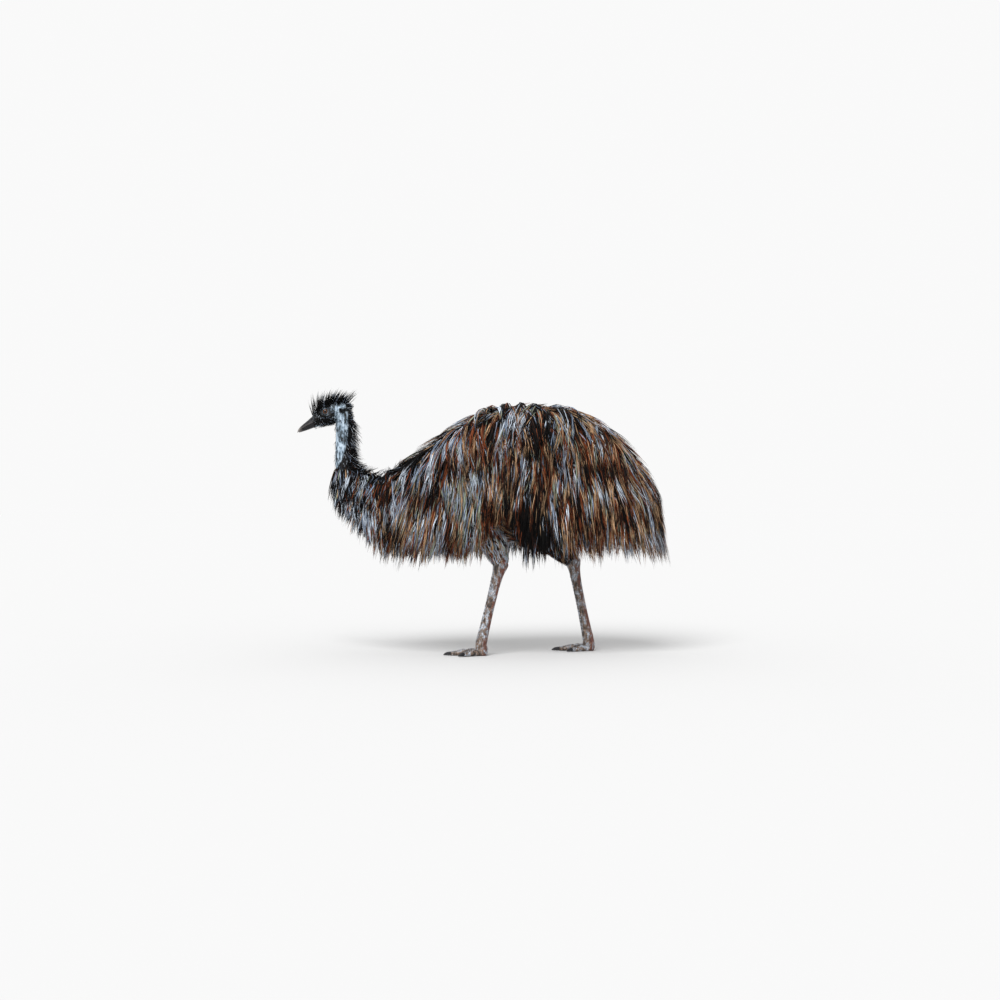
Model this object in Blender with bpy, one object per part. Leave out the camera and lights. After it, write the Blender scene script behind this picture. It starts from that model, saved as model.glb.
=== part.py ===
"""A life-size emu in mid stride, built as one closed solid for each named part of the bird.

Metres, +Z up. The bird faces -X, so its left side is -Y. It is modelled on its own midline first,
and the last step stands the middle of its bounding box over the origin, with the soles at z = 0.
"""

import math
import random

import bmesh
import bpy
from mathutils import Vector
from mathutils.bvhtree import BVHTree

PART_GAP = 0.0003  # left between the faces of two neighbouring parts
SEED = 78
SHORTEST_EDGE = 0.00004  # shorter edges, left where forms cross, are closed up

SIDEWAYS = Vector((0, 1, 0))
UPWARDS = Vector((0, 0, 1))

# Core of the trunk, under the outer half of its coat: x, top z, bottom z, half width.
TRUNK = (
    (-0.385, 0.640, 0.580, 0.030),
    (-0.360, 0.712, 0.520, 0.080),
    (-0.290, 0.765, 0.478, 0.122),
    (-0.180, 0.832, 0.462, 0.158),
    (-0.060, 0.918, 0.462, 0.184),
    (0.060, 0.985, 0.472, 0.200),
    (0.200, 1.000, 0.484, 0.206),
    (0.340, 0.988, 0.500, 0.200),
    (0.460, 0.935, 0.515, 0.180),
    (0.570, 0.848, 0.525, 0.150),
    (0.655, 0.745, 0.535, 0.108),
    (0.700, 0.670, 0.550, 0.065),
    (0.718, 0.630, 0.580, 0.025),
)
TRUNK_WAIST = 0.42  # share of the height, from the bottom, at which the trunk is widest
TRUNK_SIDES = 20
TRUNK_ROUNDNESS = 2.2

# Where the trunk is parted, as the x of the cut at the back and at the belly.
BREAST_CUT = (-0.100, -0.215)
TAIL_CUT = (0.470, 0.565)
CUT_BACK_Z = 0.95
CUT_BELLY_Z = 0.45
CUT_MARGIN = 0.006  # between a cut and the edge of the nearest lock

# Neck without its coat: x, z, half width, radius behind, radius in front.
NECK = (
    (-0.566, 1.028, 0.016, 0.020, 0.020),
    (-0.560, 0.996, 0.027, 0.030, 0.030),
    (-0.557, 0.920, 0.030, 0.032, 0.032),
    (-0.557, 0.835, 0.032, 0.034, 0.034),
    (-0.548, 0.770, 0.038, 0.041, 0.042),
    (-0.515, 0.705, 0.050, 0.055, 0.056),
    (-0.455, 0.660, 0.068, 0.074, 0.078),
    (-0.375, 0.628, 0.088, 0.096, 0.100),
    (-0.270, 0.615, 0.105, 0.106, 0.106),
)
NECK_STEPS = 2
NECK_SPLIT = 4  # the row of NECK at which the upper neck ends
NECK_SIDES = 12

# The head has its own axes: forward to the bill's tip, and up. Its origin lies between the eyes.
HEAD_AT = Vector((-0.628, 0, 0.996))
HEAD_PITCH = math.radians(19)
HEAD_SIDES = 14
HEAD_ROUNDNESS = 2.15

# Skull and face: forward, top, bottom, half width.
HEAD = (
    (-0.099, 0.000, -0.012, 0.008),
    (-0.092, 0.014, -0.023, 0.019),
    (-0.075, 0.028, -0.035, 0.030),
    (-0.048, 0.037, -0.042, 0.036),
    (-0.018, 0.040, -0.045, 0.037),
    (0.008, 0.035, -0.045, 0.035),
    (0.030, 0.025, -0.044, 0.030),
    (0.048, 0.013, -0.042, 0.026),
    (0.062, 0.005, -0.041, 0.0245),
)
# Bill: forward, ridge, cutting edge, underside, half width.
BILL = (
    (0.062, 0.0045, -0.0235, -0.0405, 0.0240),
    (0.080, -0.0030, -0.0250, -0.0410, 0.0225),
    (0.100, -0.0110, -0.0275, -0.0412, 0.0195),
    (0.118, -0.0180, -0.0305, -0.0408, 0.0155),
    (0.130, -0.0245, -0.0335, -0.0402, 0.0105),
)
BILL_UPPER_TIP = (0.141, -0.0385)
BILL_LOWER_TIP = (0.134, -0.0388)
BILL_SIDES = 10
MOUTH_GAP = 0.0006
MOUTH_LINE = (0.030, 0.066)  # forward reach of the groove that carries the mouth back along the face
MOUTH_GROOVE = 0.0022

NOSTRIL_AT = (0.101, 0.0112, -0.0155)  # forward, out, up
NOSTRIL_SIZE = (0.0095, 0.0042, 0.0034)

EYE_AT = (0.000, 0.0275, 0.004)  # forward, out, up
EYE_RADIUS = 0.0135
EYE_SIDES = 12
LID_RING = 0.0118
LID_THICKNESS = 0.0021
LID_OUT = 0.0365

EAR_AT = (-0.062, 0.034, -0.010)
EAR_SIZE = (0.0050, 0.0060, 0.0070)

# Legs: the left one is swung forward, the right one trails. Points are x, z.
LEG_Y = 0.105
TARSUS = 0.336  # from the hock to the toe joint
TOE_JOINT_Z = 0.050
LEGS = {
    "left": {"y": -LEG_Y, "knee": (-0.005, 0.665), "hock": (0.0919, 0.3775), "toe_x": 0.0133},
    "right": {"y": LEG_Y, "knee": (0.150, 0.640), "hock": (0.3953, 0.3788), "toe_x": 0.4624},
}
LEG_SIDES = 10
# Drumstick: share of the way to the hock, half width, radius behind, radius in front.
DRUMSTICK = (
    (0.00, 0.060, 0.070, 0.070),
    (0.30, 0.062, 0.084, 0.084),
    (0.55, 0.054, 0.070, 0.070),
    (0.78, 0.040, 0.049, 0.048),
    (0.92, 0.030, 0.037, 0.034),
    (1.00, 0.027, 0.034, 0.030),
    (1.12, 0.027, 0.034, 0.030),
)
# Tarsus: share of the way to the toe joint, half width, radius behind, radius in front.
TARSUS_FORM = (
    (-0.10, 0.027, 0.034, 0.030),
    (0.00, 0.027, 0.035, 0.030),
    (0.05, 0.026, 0.033, 0.027),
    (0.13, 0.021, 0.026, 0.022),
    (0.30, 0.0175, 0.021, 0.019),
    (0.60, 0.0170, 0.020, 0.018),
    (0.85, 0.0200, 0.022, 0.020),
    (1.00, 0.0235, 0.024, 0.022),
)
SCUTES_ON_TARSUS = 10
SCUTE_FROM = 0.34  # share of the tarsus above the first broad scute
SCUTE_RISE = 0.0016

# Toes: heading from straight ahead, length without claw, half width and height at root and tip.
TOE_FORM = {"root": (0.0165, 0.034), "tip": (0.0105, 0.019)}
TOES = {"inner": (-33, 0.086), "middle": (0, 0.122), "outer": (33, 0.084)}
TOE_SIDES = 8
SCUTES_ON_TOE = 4
SOLE_Z = 0.0
HEEL_BACK = 0.022
CLAW = {"inner": 0.026, "middle": 0.032, "outer": 0.026}
CLAW_SIDES = 6
CLAW_LIFT = 0.002  # clear of the floor, so that the soles carry the bird

# Locks. Each is rooted in the core and lies down the body over the tiers below it.
FAN_X = 0.17  # the lie leans forward ahead of here, and backward behind
FAN_LEAN = 0.90  # share of the lie for each metre from FAN_X
PARTING = 0.50  # how far the lie leans away from the bird's midline
NECK_PARTING = 0.25
NECK_ENDS_X = -0.36
LOCK_SINK = 0.008
SHALLOW_SINK = 0.004
LOCK_LIFT = 0.003
NEXT_LIFT = 0.006  # every other lock of a tier lies this much higher, so that their edges overlap
LOCK_SHARES = (0.0, 0.08, 0.38, 0.70, 1.0)
LOCK_WIDTHS = (0.60, 0.86, 1.00, 0.62)
LOCK_THICKNESS = (1.0, 1.0, 0.85, 0.60)
LOCK_STEPS = 12
# Ways to fit a lock in among other parts, best first: step along the body, length, width, sink.
FITS = (
    (0.0, 1.0, 1.0, LOCK_SINK),
    (0.0, 1.0, 0.9, SHALLOW_SINK),
    (0.025, 0.95, 0.85, SHALLOW_SINK),
    (-0.025, 0.95, 0.85, SHALLOW_SINK),
    (0.0, 0.8, 0.7, SHALLOW_SINK),
    (0.045, 0.9, 0.7, SHALLOW_SINK),
    (-0.045, 0.9, 0.7, SHALLOW_SINK),
    (0.0, 0.6, 0.55, SHALLOW_SINK),
)
FIT_LIFTS = (0.0, 0.008, 0.016)
TRUNK_LOCK = {"length": 0.250, "width": 0.096, "thick": 0.0075, "slope": 0.19}
TRUNK_STEP = 0.085  # between the locks of one tier
TIER_STEP = 0.112
MIDLINE_REACH = 0.022  # the first tier is rooted this far across the midline, which it covers
HEM_Z = 0.378
LEG_NOTCH = {"x": 0.098, "half": 0.085, "rise": 0.080}  # the hem is shorter over the forward leg
NECK_LOCK = {"length": 0.155, "width": 0.062, "thick": 0.0060, "slope": 0.24}
NECK_TIERS = (1, 7, 13, 19, 25)  # steps of an eighth of a row of NECK past the split
NECK_LOCK_STEP = 0.072
FRONT_HEM = (-0.40, 1.3)  # ahead of this x the coat's lower edge rises by this slope
BRISTLE = {"length": 0.078, "width": 0.024, "thick": 0.0036, "slope": 0.32}
BRISTLE_TIERS = (9, 14, 19, 24)
BRISTLE_STEP = 0.025
BARE_SIDE = 0.50  # share of the half turn, at each side of the upper neck, that is left bare
NECK_FINE = 8  # steps to each row of NECK when tiers are placed along it
STATION_FINE = 12  # steps to each row of TRUNK when locks are spaced along its back
HANGS_FREE = -0.05  # a lock leaves the body where the skin faces down more than this
HANGING_LEAN = 0.25  # share of the lean that a lock keeps once it hangs free
BACK_TILT = 0.25  # locks on skin that faces up more than this keep their full length
BELLY_TILT = -0.7  # skin that faces down more than this carries no locks
ROOT_JITTER = (0.010, 0.012)  # along the body, and up or down it
HEM_JITTER = 0.020
SHORTEST_LOCK = 0.080
LOST_ROOT = 0.030  # a root this far under another part's skin grows no lock
TURN_JITTER = 0.07
CREST_ACROSS = 2  # feathers of one row to each side of the midline
CREST_SPACING = 0.0125
CREST_REACH = (0.036, 0.118)  # first row ahead of the head's origin, and the way back to the last
CREST = {"length": 0.072, "width": 0.013, "thick": 0.0030}
CREST_ROWS = 7
WING_LOCK = {"length": 0.150, "width": 0.055, "thick": 0.0055, "slope": 0.20}

# Small wing that hangs on the flank: along its length, x, z, half width, half thickness.
WING = (
    (-0.160, 0.775, 0.016, 0.008),
    (-0.135, 0.750, 0.025, 0.012),
    (-0.100, 0.715, 0.026, 0.013),
    (-0.060, 0.675, 0.021, 0.011),
    (-0.025, 0.640, 0.014, 0.008),
)
WING_TIP = (-0.008, 0.622)
WING_INTO_TRUNK = 0.012

COLOURS = {
    "plumage": (0.075, 0.042, 0.026, 1.0),
    "neck_skin": (0.36, 0.45, 0.53, 1.0),
    "leg_skin": (0.13, 0.115, 0.105, 1.0),
    "horn": (0.028, 0.026, 0.026, 1.0),
    "eye": (0.09, 0.035, 0.012, 1.0),
}


def clear_scene():
    for old in list(bpy.data.objects):
        bpy.data.objects.remove(old)


def material(name):
    made = bpy.data.materials.get(name)
    if made is None:
        made = bpy.data.materials.new(name)
        made.use_nodes = True
        shader = made.node_tree.nodes["Principled BSDF"]
        shader.inputs["Base Color"].default_value = COLOURS[name]
        shader.inputs["Roughness"].default_value = 0.25 if name == "eye" else 0.7
        shader.inputs["Metallic"].default_value = 0.0
    return made


def smooth(rows, per_span):
    """Rows of numbers joined by a Catmull-Rom curve, with per_span steps from each row to the next."""
    rows = [Vector(row) for row in rows]
    padded = [2 * rows[0] - rows[1], *rows, 2 * rows[-1] - rows[-2]]
    made = []
    for i in range(len(rows) - 1):
        before, start, end, after = padded[i : i + 4]
        bend = 2 * before - 5 * start + 4 * end - after
        swing = 3 * start - before - 3 * end + after
        for step in range(per_span):
            t = step / per_span
            made.append(0.5 * (2 * start + (end - before) * t + bend * t**2 + swing * t**3))
    return [*made, rows[-1]]


def ring(centre, across, up, wide, high, low, sides, roundness=2.0):
    """Points round a centre: wide to each side, high above it and low below it."""
    points = []
    for i in range(sides):
        angle = 2 * math.pi * (i + 0.5) / sides
        c, s = math.cos(angle), math.sin(angle)
        reach = (abs(c) ** roundness + abs(s) ** roundness) ** (-1 / roundness)
        rise = high if s > 0 else low
        points.append(centre + across * (wide * c * reach) + up * (rise * s * reach))
    return points


def mesh_object(name, points, faces, slot):
    mesh = bpy.data.meshes.new(name)
    mesh.from_pydata([tuple(p) for p in points], [], faces)
    work = bmesh.new()
    work.from_mesh(mesh)
    bmesh.ops.triangulate(work, faces=work.faces[:])
    bmesh.ops.recalc_face_normals(work, faces=work.faces[:])
    work.to_mesh(mesh)
    work.free()
    mesh.materials.append(material(slot))
    made = bpy.data.objects.new(name, mesh)
    bpy.context.scene.collection.objects.link(made)
    return made


def loft(name, rings, slot, first_tip=None, last_tip=None):
    """A closed skin over rings of equal count, ending in a flat cap or, where a tip is given, a point."""
    count = len(rings[0])
    points = [p for one in rings for p in one]
    faces = []
    for row in range(len(rings) - 1):
        for i in range(count):
            j = (i + 1) % count
            a, b = row * count, (row + 1) * count
            faces.append((a + i, a + j, b + j, b + i))
    for tip, row in ((first_tip, 0), (last_tip, len(rings) - 1)):
        start = row * count
        if tip is None:
            faces.append([start + i for i in range(count)])
            continue
        points.append(tip)
        for i in range(count):
            faces.append((start + i, start + (i + 1) % count, len(points) - 1))
    return mesh_object(name, points, faces, slot)


def largest_surface(work):
    """Deletes all but the largest closed surface, so that no scrap or sealed hollow is left."""
    unseen = set(work.faces)
    surfaces = []
    while unseen:
        stack = [unseen.pop()]
        surface = []
        while stack:
            face = stack.pop()
            surface.append(face)
            for edge in face.edges:
                if len(edge.link_faces) != 2:
                    continue
                for other in edge.link_faces:
                    if other in unseen:
                        unseen.remove(other)
                        stack.append(other)
        surfaces.append(surface)

    def volume(surface):
        return sum(f.verts[0].co.dot(f.verts[1].co.cross(f.verts[2].co)) for f in surface) / 6

    surfaces.sort(key=volume)
    for surface in surfaces[:-1]:
        bmesh.ops.delete(work, geom=surface, context="FACES")


def apply_boolean(base, operation, pieces):
    """Joins or cuts base by the pieces with one Boolean, removes them, and keeps the largest surface."""
    group = bpy.data.collections.new("pieces")
    bpy.context.scene.collection.children.link(group)
    for piece in pieces:
        bpy.context.scene.collection.objects.unlink(piece)
        group.objects.link(piece)
    modifier = base.modifiers.new("join", "BOOLEAN")
    modifier.operation = operation
    modifier.operand_type = "COLLECTION"
    modifier.collection = group
    modifier.solver = "MANIFOLD"
    bpy.context.view_layer.update()
    graph = bpy.context.evaluated_depsgraph_get()
    joined = bpy.data.meshes.new_from_object(base.evaluated_get(graph))
    base.modifiers.remove(modifier)
    for piece in list(group.objects):
        bpy.data.objects.remove(piece)
    bpy.data.collections.remove(group)
    work = bmesh.new()
    work.from_mesh(joined)
    bmesh.ops.dissolve_degenerate(work, edges=work.edges[:], dist=SHORTEST_EDGE)
    bmesh.ops.triangulate(work, faces=work.faces[:])
    largest_surface(work)
    work.to_mesh(base.data)
    work.free()
    bpy.data.meshes.remove(joined)
    return base


def trunk_ring(row, grow=0.0, sides=TRUNK_SIDES):
    """One cross section of the trunk, grown outward all round."""
    x, top, bottom, wide = row
    middle = bottom + TRUNK_WAIST * (top - bottom)
    centre = Vector((x, 0, middle))
    high, low = top - middle + grow, middle - bottom + grow
    return ring(centre, SIDEWAYS, UPWARDS, wide + grow, high, low, sides, TRUNK_ROUNDNESS)


def trunk_solid(name, grow=0.0):
    """The whole core of the trunk as one closed form, ending in a point at the breast and the rump."""
    rings = [trunk_ring(row, grow) for row in smooth(TRUNK, 1)]
    nose = Vector((TRUNK[0][0] - 0.008 - grow, 0, (TRUNK[0][1] + TRUNK[0][2]) / 2))
    rump = Vector((TRUNK[-1][0] + 0.006 + grow, 0, (TRUNK[-1][1] + TRUNK[-1][2]) / 2))
    return loft(name, rings, "plumage", nose, rump)


def side_of_cut(cut, behind):
    """A block that holds all of the trunk ahead of a slanting cut, or all of it behind."""
    far = 3.0
    edge = PART_GAP / 2 if behind else -PART_GAP / 2
    slope = (cut[1] - cut[0]) / (CUT_BACK_Z - CUT_BELLY_Z)
    corners = []
    depth = 4 * far if behind else -4 * far
    for y in (-far, far):
        for z in (-far, far):
            x = cut[0] + slope * (CUT_BACK_Z - z) + edge
            corners.append(Vector((x, y, z)))
            corners.append(Vector((x + depth, y, z)))
    faces = [(0, 1, 3, 2), (4, 5, 7, 6), (0, 1, 5, 4), (2, 3, 7, 6), (0, 2, 6, 4), (1, 3, 7, 5)]
    return mesh_object("cut_block", corners, faces, "plumage")


def trunk_parts():
    """Breast, torso and tail, parted by two thin slanting cuts through the whole trunk."""
    breast = apply_boolean(trunk_solid("breast"), "INTERSECT", [side_of_cut(BREAST_CUT, False)])
    torso = apply_boolean(trunk_solid("torso"), "INTERSECT", [side_of_cut(BREAST_CUT, True)])
    apply_boolean(torso, "INTERSECT", [side_of_cut(TAIL_CUT, False)])
    tail = apply_boolean(trunk_solid("tail"), "INTERSECT", [side_of_cut(TAIL_CUT, True)])
    return {"breast": breast, "torso": torso, "tail": tail}


def plane_rings(rows, y, sides):
    """Rings along a path in a vertical plane, from rows like those of NECK."""
    rings = []
    for i, row in enumerate(rows):
        after, before = rows[min(i + 1, len(rows) - 1)], rows[max(i - 1, 0)]
        along = Vector((after[0] - before[0], 0, after[1] - before[1])).normalized()
        behind = Vector((-along.z, 0, along.x))
        centre = Vector((row[0], y, row[1]))
        rings.append(ring(centre, SIDEWAYS, behind, row[2], row[3], row[4], sides))
    return rings


def shift_along(rings, first, distance):
    """Moves the first or the last ring along the path, away from the neighbour that it faces."""
    end, other = (rings[0], rings[1]) if first else (rings[-1], rings[-2])
    middle = sum(end, Vector()) / len(end)
    inward = (sum(other, Vector()) / len(other) - middle).normalized()
    for i, point in enumerate(end):
        end[i] = point + inward * distance


def neck_parts():
    """Upper and lower neck. They meet at one ring, and are cut clear of the head and the trunk."""
    steps = NECK_STEPS
    rings = plane_rings(smooth(NECK, steps), 0.0, NECK_SIDES)
    split = NECK_SPLIT * steps
    upper_rings = [list(r) for r in rings[: split + 1]]
    lower_rings = [list(r) for r in rings[split:]]
    shift_along(upper_rings, False, PART_GAP / 2)
    shift_along(lower_rings, True, PART_GAP / 2)
    upper = loft("neck_upper", upper_rings, "neck_skin")
    apply_boolean(upper, "DIFFERENCE", [head_form("head_cutter", PART_GAP)])
    lower = loft("neck_lower", lower_rings, "plumage")
    apply_boolean(lower, "DIFFERENCE", [trunk_solid("trunk_cutter", PART_GAP)])
    return {"neck_upper": upper, "neck_lower": lower}


def head_point(forward, out, up):
    """A point given in the head's own axes."""
    ahead = Vector((-math.cos(HEAD_PITCH), 0, -math.sin(HEAD_PITCH)))
    above = Vector((-math.sin(HEAD_PITCH), 0, math.cos(HEAD_PITCH)))
    return HEAD_AT + ahead * forward + SIDEWAYS * out + above * up


def head_ring(forward, top, bottom, wide):
    """One cross section of the skull."""
    middle = (top + bottom) / 2
    half = (top - bottom) / 2
    above = head_point(0, 0, 1) - HEAD_AT
    centre = head_point(forward, 0, middle)
    return ring(centre, SIDEWAYS, above, wide, half, half, HEAD_SIDES, HEAD_ROUNDNESS)


def head_form(name, grow=0.0):
    """The skull, without lids or openings."""
    rows = smooth(HEAD, 2)
    rings = [head_ring(f, top + grow, bottom - grow, wide + grow) for f, top, bottom, wide in rows]
    occiput = head_point(HEAD[0][0] - 0.004 - grow, 0, -0.006)
    return loft(name, rings, "neck_skin", occiput, None)


def ball(name, centre, sizes, slot, segments=14):
    """An ellipsoid with its half lengths along the head's forward, sideways and up axes."""
    rings = []
    rows = segments // 2
    for row in range(1, rows):
        angle = math.pi * row / rows
        points = []
        for i in range(segments):
            turn = 2 * math.pi * i / segments
            offset = (
                sizes[0] * math.cos(turn) * math.sin(angle),
                sizes[1] * math.cos(angle),
                sizes[2] * math.sin(turn) * math.sin(angle),
            )
            points.append(head_point(*(c + o for c, o in zip(centre, offset))))
        rings.append(points)
    outer = head_point(centre[0], centre[1] + sizes[1], centre[2])
    inner = head_point(centre[0], centre[1] - sizes[1], centre[2])
    return loft(name, rings, slot, outer, inner)


def lid_ring(side):
    """The pair of lids as one raised ring round an eye."""
    around, across = 14, 4
    points, faces = [], []
    for i in range(around):
        turn = 2 * math.pi * i / around
        for j in range(across):
            tilt = 2 * math.pi * j / across
            reach = LID_RING + LID_THICKNESS * math.cos(tilt)
            out = LID_OUT + LID_THICKNESS * math.sin(tilt)
            forward = EYE_AT[0] + reach * math.cos(turn) * 1.08
            points.append(head_point(forward, side * out, EYE_AT[2] + reach * math.sin(turn) * 0.92))
            a, b = i * across, (i + 1) % around * across
            k = (j + 1) % across
            faces.append((a + j, a + k, b + k, b + j))
    return mesh_object("lids", points, faces, "neck_skin")


def mouth_groove(side):
    """A thin blade that carries the line of the mouth back from the bill, below the eye."""
    start, end = MOUTH_LINE
    half = MOUTH_GROOVE / 2
    rings = []
    for forward, up, reach in ((end, -0.0245, 0.012), (start, -0.0215, 0.0)):
        wide = 0.0225 + reach * 0.2
        points = []
        for out, rise in ((wide, 0), (wide + 0.012, half), (wide + 0.012, -half)):
            points.append(head_point(forward, side * out, up + rise))
        rings.append(points)
    return loft("mouth_line", rings, "neck_skin")


def head_parts():
    """Head with lids, sockets, ears and mouth line; the two halves of the bill; and the eyes."""
    made = {"head": head_form("head")}
    apply_boolean(made["head"], "UNION", [lid_ring(-1), lid_ring(1)])
    socket = EYE_RADIUS + PART_GAP
    cutters = []
    for side, word in ((-1, "left"), (1, "right")):
        eye = (EYE_AT[0], side * EYE_AT[1], EYE_AT[2])
        ear = (EAR_AT[0], side * EAR_AT[1], EAR_AT[2])
        made[f"eye_{word}"] = ball(f"eye_{word}", eye, (EYE_RADIUS,) * 3, "eye", EYE_SIDES)
        cutters.append(ball("socket", eye, (socket,) * 3, "neck_skin", EYE_SIDES))
        cutters.append(ball("ear", ear, EAR_SIZE, "neck_skin", 8))
        cutters.append(mouth_groove(side))
    apply_boolean(made["head"], "DIFFERENCE", cutters)
    made.update(bill_parts())
    return made


def bill_parts():
    """Upper bill with its nostrils, and lower bill, parted by the mouth's gap."""
    rows = smooth(BILL, 2)
    uppers, lowers = [], []
    for forward, ridge, edge, under, wide in rows:
        start = forward + (PART_GAP if forward == rows[0][0] else 0.0)
        uppers.append(bill_ring(start, edge + MOUTH_GAP / 2, ridge, wide))
        lowers.append(bill_ring(start, edge - MOUTH_GAP / 2, under, wide * 0.93))
    upper_tip = head_point(BILL_UPPER_TIP[0], 0, BILL_UPPER_TIP[1])
    lower_tip = head_point(BILL_LOWER_TIP[0], 0, BILL_LOWER_TIP[1])
    upper = loft("bill_upper", uppers, "horn", None, upper_tip)
    lower = loft("bill_lower", lowers, "horn", None, lower_tip)
    cutters = []
    for side in (-1, 1):
        centre = (NOSTRIL_AT[0], side * NOSTRIL_AT[1], NOSTRIL_AT[2])
        cutters.append(ball("nostril", centre, NOSTRIL_SIZE, "horn", 8))
    apply_boolean(upper, "DIFFERENCE", cutters)
    return {"bill_upper": upper, "bill_lower": lower}


def bill_ring(forward, flat, crown, wide):
    """Half an oval: flat along the cutting edges, and arched to the ridge or to the underside."""
    points = []
    for i in range(BILL_SIDES):
        angle = math.pi * i / (BILL_SIDES - 1)
        out = wide * math.cos(angle)
        up = flat + (crown - flat) * math.sin(angle) ** 0.85
        points.append(head_point(forward, out, up))
    return points


def surface_of(objects):
    """A search tree over the faces of several closed objects."""
    points, faces = [], []
    for one in objects:
        start = len(points)
        points += [v.co.copy() for v in one.data.vertices]
        faces += [tuple(start + i for i in f.vertices) for f in one.data.polygons]
    return BVHTree.FromPolygons(points, faces)


def smooth_step(low, high, value):
    """Rises from 0 to 1 between low and high, with no corner at either end."""
    t = min(max((value - low) / (high - low), 0.0), 1.0)
    return t * t * (3 - 2 * t)


def lie(point, side):
    """The way the coat lies: down, fanned from the hump, and parted along the back."""
    if point.x < NECK_ENDS_X:
        return Vector((0, side * NECK_PARTING, -1.0))
    ahead = FAN_LEAN * max(-0.55, min(point.x - FAN_X, 0.5))
    parting = PARTING * (1 - smooth_step(0.42, 0.66, point.x))
    return Vector((ahead, side * parting, -1.0))


def turned(direction, normal, angle):
    """A direction turned about a normal to it."""
    return direction * math.cos(angle) + normal.cross(direction) * math.sin(angle)


def follow(skin, root, length, turn, side):
    """Points down the surface from a root, hanging straight once the body falls away beneath them."""
    base, normal, _, _ = skin.find_nearest(root)
    step = length / LOCK_STEPS
    free = False
    track = []
    for _ in range(LOCK_STEPS + 1):
        track.append((base.copy(), normal.copy()))
        wish = lie(base, side)
        if not free and normal.z < HANGS_FREE:
            free = True
            flat = Vector((normal.x, normal.y, 0))
            normal = flat.normalized() if flat.length > 0.2 else normal
        if free:
            heading = Vector((wish.x * HANGING_LEAN, 0, -1)).normalized()
            base = base + turned(heading, normal, turn * 0.5) * step
            near, out, _, _ = skin.find_nearest(base)
            if (base - near).dot(out) < 0:
                base = near
        else:
            heading = (wish - normal * wish.dot(normal)).normalized()
            base, normal, _, _ = skin.find_nearest(base + turned(heading, normal, turn) * step)
    return track


def lock_path(track, length, lift, slope, sink):
    """Stations of a lock over its track: sunk at the root, then climbing away from the body."""
    path = []
    for share in LOCK_SHARES:
        at = share * LOCK_STEPS
        i = min(int(at), LOCK_STEPS - 1)
        spot = track[i][0].lerp(track[i + 1][0], at - i)
        out = track[i][1].lerp(track[i + 1][1], at - i).normalized()
        height = LOCK_LIFT + lift + slope * share * length if share else -sink
        path.append((spot + out * height, out))
    return path


def lock_points(path, width, thick, grow=0.0):
    """Three points for each station, left edge, crown and right edge, and then the tip."""
    points = []
    for i in range(len(path) - 1):
        spot, out = path[i]
        before, after = path[max(i - 1, 0)][0], path[i + 1][0]
        along = (after - before).normalized()
        across = along.cross(out).normalized()
        out = across.cross(along)
        half = width * LOCK_WIDTHS[i] / 2 + grow
        crown = thick * LOCK_THICKNESS[i] + grow
        points.append(spot - across * half - out * grow)
        points.append(spot + out * crown)
        points.append(spot + across * half - out * grow)
    points.append(path[-1][0])
    return points


def lock_faces():
    """Faces of one lock: a cap at the root, three sides, and a point."""
    faces = [(0, 1, 2)]
    rows = len(LOCK_SHARES) - 1
    for row in range(rows - 1):
        for i in range(3):
            a, b = row * 3 + i, row * 3 + (i + 1) % 3
            faces += [(a, b, b + 3), (a, b + 3, a + 3)]
    last = (rows - 1) * 3
    for i in range(3):
        faces.append((last + i, last + (i + 1) % 3, rows * 3))
    return faces


def vary(value, share=0.12):
    return value * random.uniform(1 - share, 1 + share)


def new_lock(owner, root, side, kind, lift=0.0, turn=0.0, length=None):
    """What a lock needs to be laid: its part, root, side of the bird, size, lift and turn."""
    return {
        "owner": owner,
        "root": root,
        "side": side,
        "length": length or vary(kind["length"]),
        "width": vary(kind["width"], 0.1),
        "thick": kind["thick"],
        "slope": kind["slope"],
        "lift": lift,
        "turn": turn,
    }


def trunk_stations():
    """Cross sections of the trunk, evenly spaced along the line of its back."""
    rows = smooth(TRUNK, STATION_FINE)
    stations, travelled = [], TRUNK_STEP * 0.6
    for before, after in zip(rows, rows[1:]):
        travelled += math.dist(before[:2], after[:2])
        if travelled >= TRUNK_STEP / 2:
            travelled -= TRUNK_STEP / 2
            stations.append(after)
    return stations


def trunk_roots():
    """Where the trunk's locks are rooted: tiers down one side, from the midline to the belly."""
    roots = []
    for order, row in enumerate(trunk_stations()):
        points = [p for p in trunk_ring(row, sides=96) if p.y > 0]
        points.sort(key=lambda p: -p.z)
        travelled, target, tier = 0.0, 0.0, 0
        for before, after in zip(points, points[1:]):
            travelled += math.dist(before, after)
            if travelled < target:
                continue
            if tier % 2 == order % 2:
                roots.append((after, tier, order // 2 % 2))
            tier += 1
            target += TIER_STEP
    return roots


def hem(point):
    """Height of the coat's lower edge below a point of the flank."""
    notch = 0.0
    if point.y < 0:
        notch = max(0.0, 1 - (abs(point.x - LEG_NOTCH["x"]) / LEG_NOTCH["half"]) ** 2)
    front_x, slope = FRONT_HEM
    return HEM_Z + LEG_NOTCH["rise"] * notch + slope * max(0.0, front_x - point.x)


def hanging_length(length, root, normal):
    """Locks rooted where the body falls away end near the coat's lower edge."""
    if normal.z > BACK_TILT:
        return length
    room = root.z - hem(root) + random.uniform(-HEM_JITTER, HEM_JITTER)
    return min(length * 1.35, max(room, SHORTEST_LOCK))


def cut_edge(cut, z):
    """The x of a cut through the trunk at one height."""
    return cut[0] + (cut[1] - cut[0]) * (CUT_BACK_Z - z) / (CUT_BACK_Z - CUT_BELLY_Z)


def coat_owner(point, trunk_skin):
    """The part of the neck or trunk whose surface a point lies on."""
    if (trunk_skin.find_nearest(point)[0] - point).length > 0.002:
        return "neck_lower"
    if point.x < cut_edge(BREAST_CUT, point.z):
        return "breast"
    return "tail" if point.x > cut_edge(TAIL_CUT, point.z) else "torso"


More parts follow.
